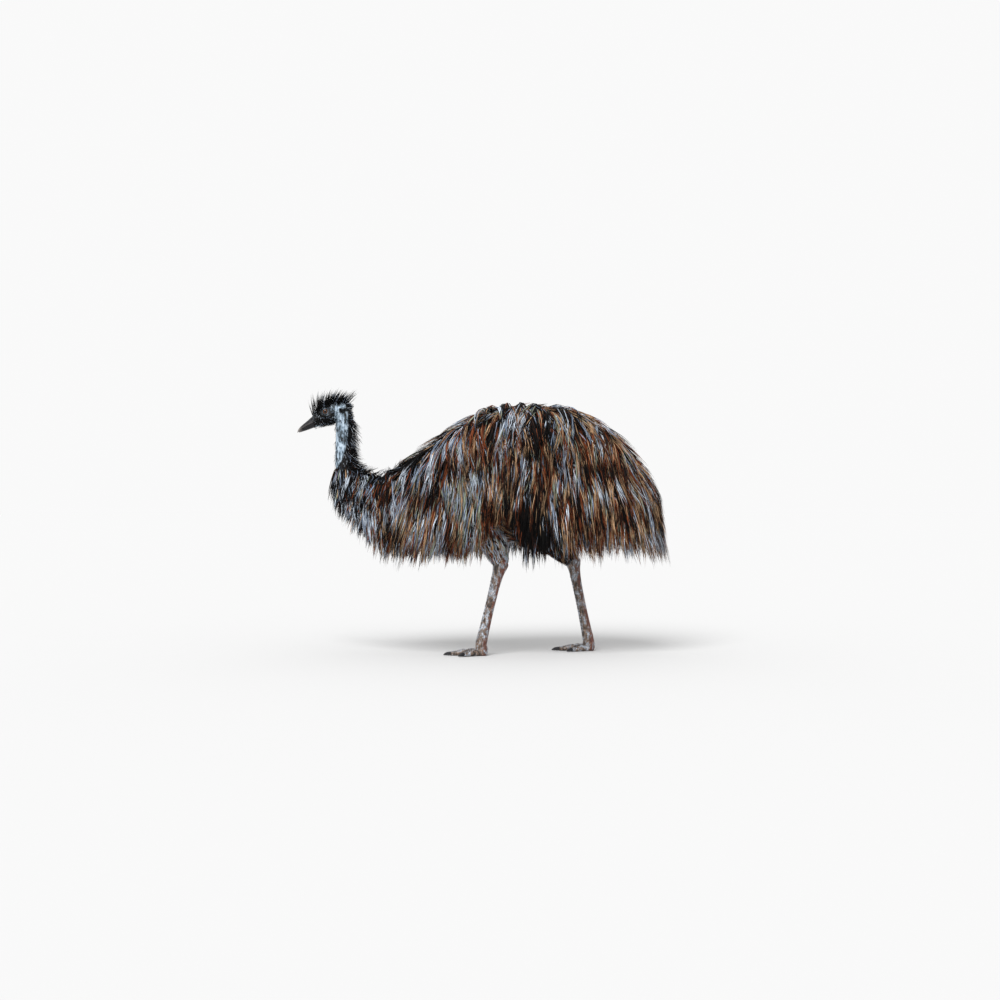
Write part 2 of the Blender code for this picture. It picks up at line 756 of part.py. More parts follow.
def trunk_locks(skin, trunk_skin):
    """Locks over the whole trunk but its belly."""
    along, up = ROOT_JITTER
    made = []
    for root, tier, next_over in trunk_roots():
        for side in (-1, 1):
            across = -MIDLINE_REACH if tier == 0 else root.y
            spot = Vector((root.x, across * side, root.z))
            spot += Vector((random.uniform(-along, along), 0, random.uniform(-up, up)))
            near, normal, _, _ = skin.find_nearest(spot)
            if (near - spot).length > LOST_ROOT or normal.z < BELLY_TILT:
                continue
            length = hanging_length(vary(TRUNK_LOCK["length"], 0.1), near, normal)
            lift = NEXT_LIFT * (next_over + (tier == 0 and side > 0))
            turn = random.uniform(-TURN_JITTER, TURN_JITTER)
            owner = coat_owner(near, trunk_skin)
            made.append(new_lock(owner, near, side, TRUNK_LOCK, lift, turn, length))
    return made


def neck_locks(skin, trunk_skin):
    """Shaggy locks round the lower neck, and bristles down the nape and throat of the upper neck."""
    rows = smooth(NECK, NECK_FINE)
    made = []
    for tier, step in enumerate(NECK_TIERS):
        row = rows[NECK_SPLIT * NECK_FINE + step]
        made += neck_tier(skin, "neck_lower", row, tier, NECK_LOCK, NECK_LOCK_STEP, 0.0)
    for lock in made:
        lock["owner"] = coat_owner(lock["root"], trunk_skin)
    for tier, step in enumerate(BRISTLE_TIERS):
        made += neck_tier(skin, "neck_upper", rows[step], tier, BRISTLE, BRISTLE_STEP, BARE_SIDE)
    return made


def neck_tier(skin, owner, row, tier, kind, spacing, bare):
    """One ring of locks round the neck, with none on the bare share of each side."""
    made = []
    around = round(math.pi * (row[2] + row[3]) / spacing)
    for i in range(around):
        turn = 2 * math.pi * (i + 0.5 * (tier % 2) + 0.25) / around + random.uniform(-0.08, 0.08)
        if abs(math.sin(turn)) < bare:
            continue
        reach = row[2] * 1.2
        guess = Vector((row[0] + reach * math.sin(turn), reach * math.cos(turn), row[1]))
        near, normal, _, _ = skin.find_nearest(guess)
        side = 1 if near.y > 0 else -1
        length = vary(kind["length"])
        if owner == "neck_lower":
            length = hanging_length(length, near, normal)
        lift = NEXT_LIFT * (i % 2)
        made.append(new_lock(owner, near, side, kind, lift, random.uniform(-0.1, 0.1), length))
    return made


def crest_points():
    """Narrow feathers that stand from the crown and lean back, longest in the middle."""
    made = []
    for row in range(CREST_ROWS):
        along = row / (CREST_ROWS - 1)
        forward = CREST_REACH[0] - CREST_REACH[1] * along
        for column in range(-CREST_ACROSS, CREST_ACROSS + 1):
            if (row + column) % 2:
                continue
            out = column * CREST_SPACING * (1 - 0.25 * abs(along - 0.45))
            arch = math.sin(math.pi * (0.15 + 0.75 * along))
            length = vary(CREST["length"], 0.18) * (0.55 + 0.45 * arch)
            lean = -0.35 - 1.15 * along + random.uniform(-0.15, 0.15)
            heading = Vector((lean, column * 0.22 + random.uniform(-0.1, 0.1), 1.0)).normalized()
            made.append(crest_feather(forward, out, heading, length))
    return made


def crest_feather(forward, out, heading, length):
    """Stations in the head's own axes, bending backward toward the tip."""
    crown = crown_height(forward, out)
    path = []
    for share in LOCK_SHARES:
        bend = share * share * length
        reach = heading * (share * length - 0.006)
        spot = head_point(forward + reach.x - bend * 0.28, out + reach.y, crown + reach.z - bend * 0.12)
        path.append((spot, head_point(-1, 0, 0.25) - HEAD_AT))
    return lock_points(path, vary(CREST["width"]), CREST["thick"])


def crown_height(forward, out):
    """Height of the skull's upper surface in the head's own axes."""
    rows = smooth(HEAD, 6)
    row = min(rows, key=lambda one: abs(one[0] - forward))
    middle, half = (row[1] + row[2]) / 2, (row[1] - row[2]) / 2
    return middle + half * math.sqrt(max(0.0, 1 - (out / row[3]) ** 2))


def flank_point(skin, x, z, side):
    """Where a line from one side of the bird meets its flank, and the way the skin faces there."""
    near, normal, _, _ = skin.ray_cast(Vector((x, side, z)), Vector((0, -side, 0)))
    return near, normal


def wing(word, trunk_skin):
    """The small wing as a low form along the flank, cut clear of the trunk."""
    side = -1 if word == "left" else 1
    spots = []
    for x, z, wide, thick in smooth(WING, 2):
        near, normal = flank_point(trunk_skin, x, z, side)
        spots.append((near, normal, wide, thick))
    rings = []
    for i, (near, normal, wide, thick) in enumerate(spots):
        after, before = spots[min(i + 1, len(spots) - 1)][0], spots[max(i - 1, 0)][0]
        along = (after - before).normalized()
        across = along.cross(normal).normalized()
        rings.append(ring(near, across, normal, wide, thick, WING_INTO_TRUNK, 10))
    near, normal = flank_point(trunk_skin, *WING_TIP, side)
    made = loft(f"wing_{word}", rings, "plumage", None, near + normal * 0.003)
    apply_boolean(made, "DIFFERENCE", [trunk_solid("trunk_cutter", PART_GAP)])
    return made


def wing_locks(skin):
    """A row of locks down each wing."""
    made = []
    for side, word in ((-1, "left"), (1, "right")):
        for i, row in enumerate(smooth(WING, 1)[:-1]):
            near, _ = flank_point(skin, row[0], row[1], side)
            made.append(new_lock(f"wing_{word}", near, side, WING_LOCK, NEXT_LIFT * (i % 2)))
    return made


def clear_of_cuts(owner, point, margin):
    """Moves a point along the body until it is well on its own side of the cuts through the trunk."""
    breast_edge = cut_edge(BREAST_CUT, point.z)
    tail_edge = cut_edge(TAIL_CUT, point.z)
    if owner == "breast":
        point.x = min(point.x, breast_edge - margin)
    elif owner == "tail":
        point.x = max(point.x, tail_edge + margin)
    elif owner == "torso":
        point.x = min(max(point.x, breast_edge + margin), tail_edge - margin)


def settle_lock(lock, skin, foreign):
    """Moves, lifts or trims a lock until it clears every foreign surface. Gives None where it can't."""
    for along, shorter, narrower, sink in FITS:
        length, width = lock["length"] * shorter, lock["width"] * narrower
        root = lock["root"] + Vector((along, 0, 0))
        clear_of_cuts(lock["owner"], root, width / 2)
        track = follow(skin, root, length, lock["turn"], lock["side"])
        for lift in FIT_LIFTS:
            path = lock_path(track, length, lock["lift"] + lift, lock["slope"], sink)
            for (spot, _), share in zip(path, (*LOCK_WIDTHS, 0.0)):
                clear_of_cuts(lock["owner"], spot, width * share / 2 + CUT_MARGIN)
            wide = lock_points(path, width, lock["thick"], PART_GAP)
            tree = BVHTree.FromPolygons(wide, lock_faces())
            if any(tree.overlap(other) for other in foreign):
                continue
            return lock_points(path, width, lock["thick"]), tree
    return None


def add_locks(parts):
    """Roots every lock in its own part, clear of all the other parts and of their locks."""
    joined = trunk_solid("skin")
    trunk_skin = surface_of([joined])
    neck = loft("neck_form", plane_rings(smooth(NECK, NECK_STEPS), 0.0, NECK_SIDES), "plumage")
    copies = []
    for word in LEGS:
        copy = parts[f"wing_{word}"].copy()
        copy.data = copy.data.copy()
        bpy.context.scene.collection.objects.link(copy)
        copies.append(copy)
    skin = surface_of([apply_boolean(joined, "UNION", [neck]), *copies])
    for one in [joined, *copies]:
        bpy.data.objects.remove(one)
    solids = {name: surface_of([part]) for name, part in parts.items()}
    grown = {}
    locks = neck_locks(skin, trunk_skin) + trunk_locks(skin, trunk_skin) + wing_locks(skin)
    for lock in locks:
        owner = lock["owner"]
        foreign = [tree for name, tree in solids.items() if name != owner]
        for name, settled in grown.items():
            if name != owner:
                foreign += [tree for _, tree in settled]
        settled = settle_lock(lock, skin, foreign)
        if settled:
            grown.setdefault(owner, []).append(settled)
    for owner, settled in grown.items():
        pieces = [mesh_object("lock", points, lock_faces(), "plumage") for points, _ in settled]
        apply_boolean(parts[owner], "UNION", pieces)
    crest = [mesh_object("crest", points, lock_faces(), "plumage") for points in crest_points()]
    apply_boolean(parts["head"], "UNION", crest)


def leg_path(leg):
    """The hock and the toe joint, as x and z."""
    hock = Vector(leg["hock"])
    toe = Vector((leg["toe_x"], TOE_JOINT_Z))
    return hock, hock + (toe - hock).normalized() * TARSUS


def drumstick(word, leg):
    """The feathered part of the leg, cut clear of the trunk."""
    knee, hock = Vector(leg["knee"]), Vector(leg["hock"])
    rows = []
    for share, wide, behind, front in smooth(DRUMSTICK, 2):
        x, z = knee.lerp(hock, share)
        rows.append((x, z, wide, behind, front))
    rings = plane_rings(rows, leg["y"], LEG_SIDES)
    made = loft(f"drumstick_{word}", rings, "plumage")
    apply_boolean(made, "DIFFERENCE", [trunk_solid("trunk_cutter", PART_GAP)])
    return made


def hock_plane(leg):
    """The hock, and the way down through it that halves its bend."""
    knee, hock = Vector(leg["knee"]), Vector(leg["hock"])
    toe = leg_path(leg)[1]
    down = ((hock - knee).normalized() + (toe - hock).normalized()).normalized()
    return hock, down


def half_space(name, point, direction, y):
    """A big block that fills the space ahead of a plane through a point of the leg."""
    reach = 0.5
    ahead = Vector((direction.x, 0, direction.y))
    across = Vector((-ahead.z, 0, ahead.x))
    origin = Vector((point.x, y, point.y))
    corners = []
    for depth in (0, reach):
        for side in (-reach, reach):
            for out in (-reach, reach):
                corners.append(origin + ahead * depth + across * side + SIDEWAYS * out)
    faces = [(0, 1, 3, 2), (4, 5, 7, 6), (0, 1, 5, 4), (2, 3, 7, 6), (0, 2, 6, 4), (1, 3, 7, 5)]
    return mesh_object(name, corners, faces, "leg_skin")


def tarsus(word, leg):
    """The long scaly shank, with broad scutes stepped down its front."""
    hock, toe = leg_path(leg)
    rows, front_rise = [], []
    for share, wide, behind, front in smooth(TARSUS_FORM, 2):
        if share < SCUTE_FROM:
            rows.append((*hock.lerp(toe, share), wide, behind, front))
            front_rise.append(0.0)
    form = smooth(TARSUS_FORM, 8)
    for i in range(SCUTES_ON_TARSUS):
        for end, rise in ((0.02, 0.0), (0.98, 1.0)):
            share = SCUTE_FROM + (1 - SCUTE_FROM) * (i + end) / SCUTES_ON_TARSUS
            near = min(form, key=lambda row: abs(row[0] - share))
            rows.append((*hock.lerp(toe, share), near[1], near[2], near[3]))
            front_rise.append(SCUTE_RISE * rise)
    last = TARSUS_FORM[-1]
    rows.append((*toe, last[1], last[2], last[3]))
    front_rise.append(0.0)
    rings = plane_rings(rows, leg["y"], LEG_SIDES)
    raise_fronts(rings, front_rise)
    return loft(f"tarsus_{word}", rings, "leg_skin")


def raise_fronts(rings, rises):
    """Pushes the front third of each ring out by that ring's rise, which forms the scutes."""
    for points, rise in zip(rings, rises):
        centre = sum(points, Vector()) / len(points)
        front = min(range(len(points)), key=lambda i: points[i].x)
        for i, point in enumerate(points):
            apart = min((i - front) % len(points), (front - i) % len(points))
            if apart <= 2:
                points[i] = point + (point - centre).normalized() * rise * (1 - apart / 3)


def toe_rings(start, heading, length, root, tip):
    """Rings of one toe, flat on the floor, its back stepped by scutes."""
    along = Vector((-math.cos(heading), -math.sin(heading), 0))
    across = Vector((-along.y, along.x, 0))
    rings = []
    shares = [0.0, 0.16]
    for i in range(SCUTES_ON_TOE):
        shares += [0.2 + 0.8 * (i + 0.05) / SCUTES_ON_TOE, 0.2 + 0.8 * (i + 0.95) / SCUTES_ON_TOE]
    for order, share in enumerate(shares):
        wide = root[0] + (tip[0] - root[0]) * share
        knuckle = 1 + 0.10 * math.sin(share * math.pi * 4)
        tall = (root[1] + (tip[1] - root[1]) * share) * knuckle
        if order >= 2 and order % 2:
            tall += SCUTE_RISE
        centre = start + along * (length * share) + UPWARDS * (SOLE_Z + tall * 0.45)
        points = ring(centre, across, UPWARDS, wide, tall * 0.55, tall * 0.45, TOE_SIDES, 2.4)
        floor = SOLE_Z + tall * 0.06
        rings.append([Vector((p.x, p.y, SOLE_Z if p.z < floor else p.z)) for p in points])
    return rings, along


def foot_parts(word, leg):
    """One foot: the joint and its three toes fused, and three claws."""
    toe = leg_path(leg)[1]
    outward = -1 if word == "left" else 1
    heel = Vector((toe.x, leg["y"], 0))
    toes, made = [], {}
    for name, (degrees, length) in TOES.items():
        heading = math.radians(degrees) * -outward
        start = heel + Vector((HEEL_BACK * 0.3, 0, 0))
        reach = length + HEEL_BACK * 0.3
        rings, along = toe_rings(start, heading, reach, TOE_FORM["root"], TOE_FORM["tip"])
        toes.append(loft(f"toe_{name}", rings, "leg_skin"))
        tip = start + along * (reach + PART_GAP)
        claw_name = f"claw_{word}_{name}"
        made[claw_name] = claw(claw_name, tip, along, CLAW[name])
    foot = foot_block(f"foot_{word}", leg, toe)
    made[f"foot_{word}"] = apply_boolean(foot, "UNION", toes)
    return made


def foot_block(name, leg, toe):
    """The toe joint: from the ring under the tarsus down to a flat pad behind the toes."""
    hock = Vector(leg["hock"])
    along = (toe - hock).normalized()
    last = TARSUS_FORM[-1]
    top = toe + along * PART_GAP
    rows = [
        (top.x - along.x * 0.001, top.y - along.y * 0.001, last[1], last[2], last[3]),
        (top.x, top.y, last[1], last[2], last[3]),
    ]
    ring_top = plane_rings(rows, leg["y"], LEG_SIDES)[1]
    middle = Vector((toe.x + 0.002, leg["y"], 0.026))
    pad = Vector((toe.x + 0.001, leg["y"], SOLE_Z + 0.008))
    sole = Vector((toe.x + 0.001, leg["y"], SOLE_Z))
    ahead = Vector((1, 0, 0))
    rings = [
        ring_top,
        ring(middle, SIDEWAYS, ahead, 0.026, 0.028, 0.026, LEG_SIDES),
        ring(pad, SIDEWAYS, ahead, 0.025, HEEL_BACK + 0.004, 0.024, LEG_SIDES),
        ring(sole, SIDEWAYS, ahead, 0.021, HEEL_BACK, 0.020, LEG_SIDES),
    ]
    return loft(name, rings, "leg_skin")


def claw(name, base, along, length):
    """A blunt nail that curves down to just above the floor."""
    across = Vector((-along.y, along.x, 0))
    wide, tall = TOE_FORM["tip"]
    rings = []
    for share, size in ((0.0, 0.86), (0.35, 0.74), (0.7, 0.48)):
        height = tall * 0.86 * size
        low = CLAW_LIFT + (1 - share) * 0.001
        centre = base + along * (length * share) + UPWARDS * (low + height / 2)
        rings.append(ring(centre, across, UPWARDS, wide * size, height / 2, height / 2, CLAW_SIDES))
    tip = base + along * length + UPWARDS * (CLAW_LIFT + 0.001)
    return loft(name, rings, "horn", None, tip)


def cut_hock(parts):
    """Parts each drumstick from its tarsus on the plane that halves the bend of the hock."""
    for word, leg in LEGS.items():
        hock, down = hock_plane(leg)
        away = down * (PART_GAP / 2)
        below = half_space("below_hock", hock - away, down, leg["y"])
        above = half_space("above_hock", hock + away, -down, leg["y"])
        apply_boolean(parts[f"drumstick_{word}"], "DIFFERENCE", [below])
        apply_boolean(parts[f"tarsus_{word}"], "DIFFERENCE", [above])


def stand_over_origin(parts):
    """Moves every part alike, so that the bird's bounding box is centred over the origin."""
    low = Vector((1e9,) * 3)
    high = Vector((-1e9,) * 3)
    for part in parts.values():
        for vertex in part.data.vertices:
            low = Vector(map(min, low, vertex.co))
            high = Vector(map(max, high, vertex.co))
    shift = Vector((-(low.x + high.x) / 2, -(low.y + high.y) / 2, -low.z))
    for part in parts.values():
        part.location = shift


def main():
    random.seed(SEED)
    clear_scene()
    parts = trunk_parts()
    parts.update(neck_parts())
    parts.update(head_parts())
    trunk = trunk_solid("trunk_form")
    trunk_skin = surface_of([trunk])
    bpy.data.objects.remove(trunk)
    for word, leg in LEGS.items():
        parts[f"wing_{word}"] = wing(word, trunk_skin)
        parts[f"drumstick_{word}"] = drumstick(word, leg)
        parts[f"tarsus_{word}"] = tarsus(word, leg)
        parts.update(foot_parts(word, leg))
    cut_hock(parts)
    add_locks(parts)
    stand_over_origin(parts)


main()
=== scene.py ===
# %% [markdown]
# A walking emu, life size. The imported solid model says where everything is. This lesson dresses it:
# a skin with a finely made head and scaly legs, a horn bill, glossy eyes, nails, and the long loose
# double feathers that make an emu look like a walking haystack.

# %% Load the solid model
import math

import bmesh
import bpy
import numpy as np
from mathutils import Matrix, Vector, noise
from mathutils.bvhtree import BVHTree


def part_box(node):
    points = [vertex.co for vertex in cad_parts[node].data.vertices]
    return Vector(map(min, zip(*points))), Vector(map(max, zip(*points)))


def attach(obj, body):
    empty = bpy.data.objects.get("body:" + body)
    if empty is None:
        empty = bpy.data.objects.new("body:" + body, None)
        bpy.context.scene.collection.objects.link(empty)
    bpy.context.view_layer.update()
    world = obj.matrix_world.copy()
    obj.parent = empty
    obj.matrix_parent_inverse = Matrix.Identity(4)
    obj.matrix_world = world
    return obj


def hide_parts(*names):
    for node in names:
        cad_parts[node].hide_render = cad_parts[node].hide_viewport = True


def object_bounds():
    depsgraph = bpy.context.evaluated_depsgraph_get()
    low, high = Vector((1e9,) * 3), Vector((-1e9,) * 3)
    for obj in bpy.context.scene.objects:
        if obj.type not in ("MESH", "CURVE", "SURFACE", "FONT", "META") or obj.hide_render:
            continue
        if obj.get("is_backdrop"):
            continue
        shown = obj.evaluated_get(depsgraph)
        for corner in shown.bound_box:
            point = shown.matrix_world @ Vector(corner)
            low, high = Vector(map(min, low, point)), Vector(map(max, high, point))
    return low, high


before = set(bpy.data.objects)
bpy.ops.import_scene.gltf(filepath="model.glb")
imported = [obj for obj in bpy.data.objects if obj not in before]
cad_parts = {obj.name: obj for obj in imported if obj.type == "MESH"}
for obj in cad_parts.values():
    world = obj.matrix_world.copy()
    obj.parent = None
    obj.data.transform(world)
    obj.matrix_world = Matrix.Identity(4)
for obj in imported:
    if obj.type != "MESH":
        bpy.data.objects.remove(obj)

model_low, model_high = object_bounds()
box = [round(v, 3) for v in (*model_low, *model_high)]
print("solid model:", len(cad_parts), "nodes, box", box)

# %% [markdown]
# The bird is drawn here on its own midline, as its source is, in metres: x runs from bill to tail, z
# is up, and y is the bird's right. The solid model was then moved so that it stands over the origin.
# One eye is in both, so it tells how far everything has to move.

# %% Find the move from the bird's own midline to the model's place
SIDEWAYS = np.array((0.0, 1.0, 0.0))
UPWARDS = np.array((0.0, 0.0, 1.0))
HEAD_AT = np.array((-0.628, 0.0, 0.996))
HEAD_PITCH = math.radians(19)
HEAD_AHEAD = np.array((-math.cos(HEAD_PITCH), 0.0, -math.sin(HEAD_PITCH)))
HEAD_ABOVE = np.array((-math.sin(HEAD_PITCH), 0.0, math.cos(HEAD_PITCH)))
EYE_AT = (0.000, 0.0275, 0.004)  # ahead, out and above, in the head's own axes
EYE_RADIUS = 0.0135


def head_point(ahead, out, above):
    """Points given in the head's own axes. Numbers or arrays."""
    ahead, out, above = (np.asarray(v, float)[..., None] for v in (ahead, out, above))
    return HEAD_AT + HEAD_AHEAD * ahead + SIDEWAYS * out + HEAD_ABOVE * above


eye_low, eye_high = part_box("eye_left")
MOVE = np.array((eye_low + eye_high) / 2) - head_point(EYE_AT[0], -EYE_AT[1], EYE_AT[2])
print("moved by, metres:", MOVE.round(4))

# %% [markdown]
# Every form of the body is a smooth skin over a row of rings, the way a boat's planks run over its
# frames. A few measured rings are enough: a curve through them gives the ones in between.


# %% Rings and skins over them
def smooth(rows, per_span):
    """Rows of numbers joined by a smooth curve that passes through each row."""
    rows = np.array(rows, float)
    padded = np.vstack((2 * rows[0] - rows[1], rows, 2 * rows[-1] - rows[-2]))
    made = []
    for i in range(len(rows) - 1):
        before, start, end, after = padded[i : i + 4]
        for step in range(per_span):
            t = step / per_span
            bend = 2 * before - 5 * start + 4 * end - after
            swing = 3 * start - before - 3 * end + after
            made.append(0.5 * (2 * start + (end - before) * t + bend * t**2 + swing * t**3))
    made.append(rows[-1])
    return np.array(made)


def ring(centre, across, up, wide, high, low, sides, roundness=2.0):
    """Points round a centre: wide to each side, high above it and low below it."""
    angle = 2 * np.pi * (np.arange(sides) + 0.5) / sides
    c, s = np.cos(angle), np.sin(angle)
    reach = (abs(c) ** roundness + abs(s) ** roundness) ** (-1 / roundness)
    rise = np.where(s > 0, high, low)
    return centre + across * (wide * c * reach)[:, None] + up * (rise * s * reach)[:, None]


def closed_form(rings, first_tip=None, last_tip=None):
    """Points and faces of a closed skin over rings of equal count."""
    count = len(rings[0])
    points = [p for one in rings for p in one]
    faces = []
    for row in range(len(rings) - 1):
        for i in range(count):
            j = (i + 1) % count
            a, b = row * count, (row + 1) * count
            faces.append((a + i, a + j, b + j, b + i))
    for tip, row in ((first_tip, 0), (last_tip, len(rings) - 1)):
        start = row * count
        middle = np.mean(rings[row], axis=0) if tip is None else tip
        points.append(middle)
        for i in range(count):
            faces.append((start + i, start + (i + 1) % count, len(points) - 1))
    return points, faces


# %% [markdown]
# A mesh object is made from points and faces in one go. It goes straight to the model's place, and
# its faces are turned outward, because a remesh and a renderer both ask which side is out.


# %% Pieces from points and faces
def merged(forms):
    """Several forms as one list of points and one of faces."""
    points, faces = [], []
    for some_points, some_faces in forms:
        start = len(points)
        points += list(some_points)
        faces += [tuple(start + i for i in face) for face in some_faces]
    return points, faces


def new_piece(name, points, faces, finish=None):
    """A mesh object with faces turned outward, at the model's place."""
    mesh = bpy.data.meshes.new(name)
    mesh.from_pydata([tuple(np.asarray(p) + MOVE) for p in points], [], faces)
    work = bmesh.new()
    work.from_mesh(mesh)
    bmesh.ops.recalc_face_normals(work, faces=work.faces[:])
    work.to_mesh(mesh)
    work.free()
    mesh.shade_smooth()
    if finish:
        mesh.materials.append(finish)
    piece = bpy.data.objects.new(name, mesh)
    bpy.context.scene.collection.objects.link(piece)
    return piece


def with_modifiers(piece):
    """Keeps a piece's mesh as its modifiers leave it, and takes them off."""
    bpy.context.view_layer.update()
    graph = bpy.context.evaluated_depsgraph_get()
    mesh = bpy.data.meshes.new_from_object(piece.evaluated_get(graph))
    piece.modifiers.clear()
    old, piece.data = piece.data, mesh
    bpy.data.meshes.remove(old)
    return piece


def triangles(piece):
    """How many triangles a piece's faces make."""
    return sum(len(face.vertices) - 2 for face in piece.data.polygons)


# %% [markdown]
# A living surface is one material after another: keratin, skin, horn. Each finish is made of nodes,
# and its colours are written as on a paint chart, in hex, then turned to the linear numbers that
# the renderer works with.


# %% Helpers for finishes
def paint(code):
    """The linear colour of an sRGB hex code."""
    channels = [int(code[i : i + 2], 16) / 255 for i in (1, 3, 5)]
    return (*[c / 12.92 if c <= 0.04045 else ((c + 0.055) / 1.055) ** 2.4 for c in channels], 1.0)


def add(tree, kind, links=(), stops=(), values=(), **settings):
    """Adds one node, with its settings, its unlinked values, its ramp's colours and its links."""
    node = tree.nodes.new(kind)
    for name, value in settings.items():
        setattr(node, name, value)
    for socket, value in dict(values).items():
        node.inputs[socket].default_value = value
    for socket, source in dict(links).items():
        tree.links.new(source, node.inputs[socket])
    while stops and len(node.color_ramp.elements) < len(stops):
        node.color_ramp.elements.new(1.0)
    for i, (place, colour) in enumerate(stops):
        node.color_ramp.elements[i].position = place
        node.color_ramp.elements[i].color = paint(colour) if isinstance(colour, str) else colour
    return node


def new_finish(name, roughness, ior, **constant):
    """An empty finish: its node tree, and its shader with the values that are the same all over."""
    finish = bpy.data.materials.new(name)
    finish.use_nodes = True
    tree = finish.node_tree
    shader = tree.nodes["Principled BSDF"]
    shader.inputs["Roughness"].default_value = roughness
    shader.inputs["IOR"].default_value = ior
    for socket, value in constant.items():
        shader.inputs[socket.replace("_", " ")].default_value = value
    return finish, tree, shader


# %% [markdown]
# Body first. The skin of the trunk lies deep under the feathers, so it only has to carry them. It is
# the same row of rings as in the solid model, finer.

# %% Trunk
SKIN_INSET = 0.002  # the skin lies this far inside the solids
TRUNK = (  # x, top z, bottom z, half width
    (-0.385, 0.640, 0.580, 0.030),
    (-0.360, 0.712, 0.520, 0.080),
    (-0.290, 0.765, 0.478, 0.122),
    (-0.180, 0.832, 0.462, 0.158),
    (-0.060, 0.918, 0.462, 0.184),
    (0.060, 0.985, 0.472, 0.200),
    (0.200, 1.000, 0.484, 0.206),
    (0.340, 0.988, 0.500, 0.200),
    (0.460, 0.935, 0.515, 0.180),
    (0.570, 0.848, 0.525, 0.150),
    (0.655, 0.745, 0.535, 0.108),
    (0.700, 0.670, 0.550, 0.065),
    (0.718, 0.630, 0.580, 0.025),
)
TRUNK_WAIST = 0.42  # share of the way up at which the trunk is widest
TRUNK_SIDES = 56
TRUNK_ROUNDNESS = 2.2  # 2 gives an oval, and more a boxier ring


def trunk_form():
    """The trunk as one closed skin."""
    rings = []
    for x, top, bottom, wide in smooth(TRUNK, 5):
        middle = bottom + TRUNK_WAIST * (top - bottom)
        centre = np.array((x, 0.0, middle))
        wide, high, low = (size - SKIN_INSET for size in (wide, top - middle, middle - bottom))
        rings.append(ring(centre, SIDEWAYS, UPWARDS, wide, high, low, TRUNK_SIDES, TRUNK_ROUNDNESS))
    return closed_form(rings)


print("trunk:", len(TRUNK), "rows of", TRUNK_SIDES, "points, before smoothing")

# %% [markdown]
# The neck leaves the trunk in a swan-like curve. Each of its rings stands square to its path, which
# it finds from the rows before and after it. The upper part goes to the finer skin of the head.

# %% Neck
NECK = (  # x, z, half width, radius behind, radius in front
    (-0.566, 1.028, 0.016, 0.020, 0.020),
    (-0.560, 0.996, 0.027, 0.030, 0.030),
    (-0.557, 0.920, 0.030, 0.032, 0.032),
    (-0.557, 0.835, 0.032, 0.034, 0.034),
    (-0.548, 0.770, 0.038, 0.041, 0.042),
    (-0.515, 0.705, 0.050, 0.055, 0.056),
    (-0.455, 0.660, 0.068, 0.074, 0.078),
    (-0.375, 0.628, 0.088, 0.096, 0.100),
    (-0.270, 0.615, 0.105, 0.106, 0.106),
)
NECK_SIDES = 40
LOWER_NECK_FROM = 18  # row of the smooth neck, counted from the head


def upright_rings(rows, y, sides, grow=0.0):
    """Rings along an upright path. A row is x, z, half width, radius behind and radius in front."""
    rings = []
    for i, row in enumerate(rows):
        after, before = rows[min(i + 1, len(rows) - 1)], rows[max(i - 1, 0)]
        along = np.array((after[0] - before[0], 0.0, after[1] - before[1]))
        along /= np.linalg.norm(along)
        behind = np.array((-along[2], 0.0, along[0]))
        centre = np.array((row[0], y, row[1]))
        wide, back, front = row[2] + grow, row[3] + grow, row[4] + grow
        rings.append(ring(centre, SIDEWAYS, behind, wide, back, front, sides))
    return rings


neck_rows = smooth(NECK, 6)
lower_neck = closed_form(upright_rings(neck_rows[LOWER_NECK_FROM:], 0.0, NECK_SIDES, -SKIN_INSET))
body_forms = [trunk_form(), lower_neck]
print("neck:", len(neck_rows), "smooth rows")

# %% [markdown]
# A bird's knee is hidden in its coat. The joint that seems to bend backwards is its heel, the hock.
# So the thigh that shows is a spindle from knee to hock, and the left leg is the one in front.

# %% Thighs
LEG_Y = 0.105
LEGS = {
    "left": {"y": -LEG_Y, "knee": (-0.005, 0.665), "hock": (0.0919, 0.3775), "toe_x": 0.0133},
    "right": {"y": LEG_Y, "knee": (0.150, 0.640), "hock": (0.3953, 0.3788), "toe_x": 0.4624},
}
DRUMSTICK = (  # share of the way to the hock, half width, radius behind, radius in front
    (0.00, 0.060, 0.070, 0.070),
    (0.30, 0.062, 0.084, 0.084),
    (0.55, 0.054, 0.070, 0.070),
    (0.78, 0.040, 0.049, 0.048),
    (0.92, 0.030, 0.037, 0.034),
    (1.00, 0.027, 0.034, 0.030),
)
LEG_SIDES = 28


def leg_rows(start, end, rows, per_span):
    """Rows along a straight bone, from rows that start with a share of the way."""
    start, end = np.array(start), np.array(end)
    made = []
    for share, wide, behind, front in smooth(rows, per_span):
        x, z = start + (end - start) * share
        made.append((x, z, wide, behind, front))
    return made


thigh_forms = []
for leg in LEGS.values():
    rows = leg_rows(leg["knee"], leg["hock"], DRUMSTICK, 4)
    thigh_forms.append(closed_form(upright_rings(rows, leg["y"], LEG_SIDES, -SKIN_INSET)))
print("thighs:", len(thigh_forms))

# %% [markdown]
# Overlapping forms are fused by a voxel remesh, which samples their volume on a fine grid, the way a
# sculptor wraps an armature. A little smoothing then melts the steps and the creases between them.


# %% Fuse forms into one surface
BODY_VOXEL = 0.009


def fused(name, forms, voxel, rounds):
    """One closed skin over several overlapping forms."""
    piece = new_piece(name, *merged(forms))
    remesh = piece.modifiers.new("fuse", "REMESH")
    remesh.mode = "VOXEL"
    remesh.voxel_size = voxel
    melt = piece.modifiers.new("melt", "SMOOTH")
    melt.factor = 0.5
    melt.iterations = rounds
    with_modifiers(piece)
    print(name, "fused:", triangles(piece), "triangles")
    return piece


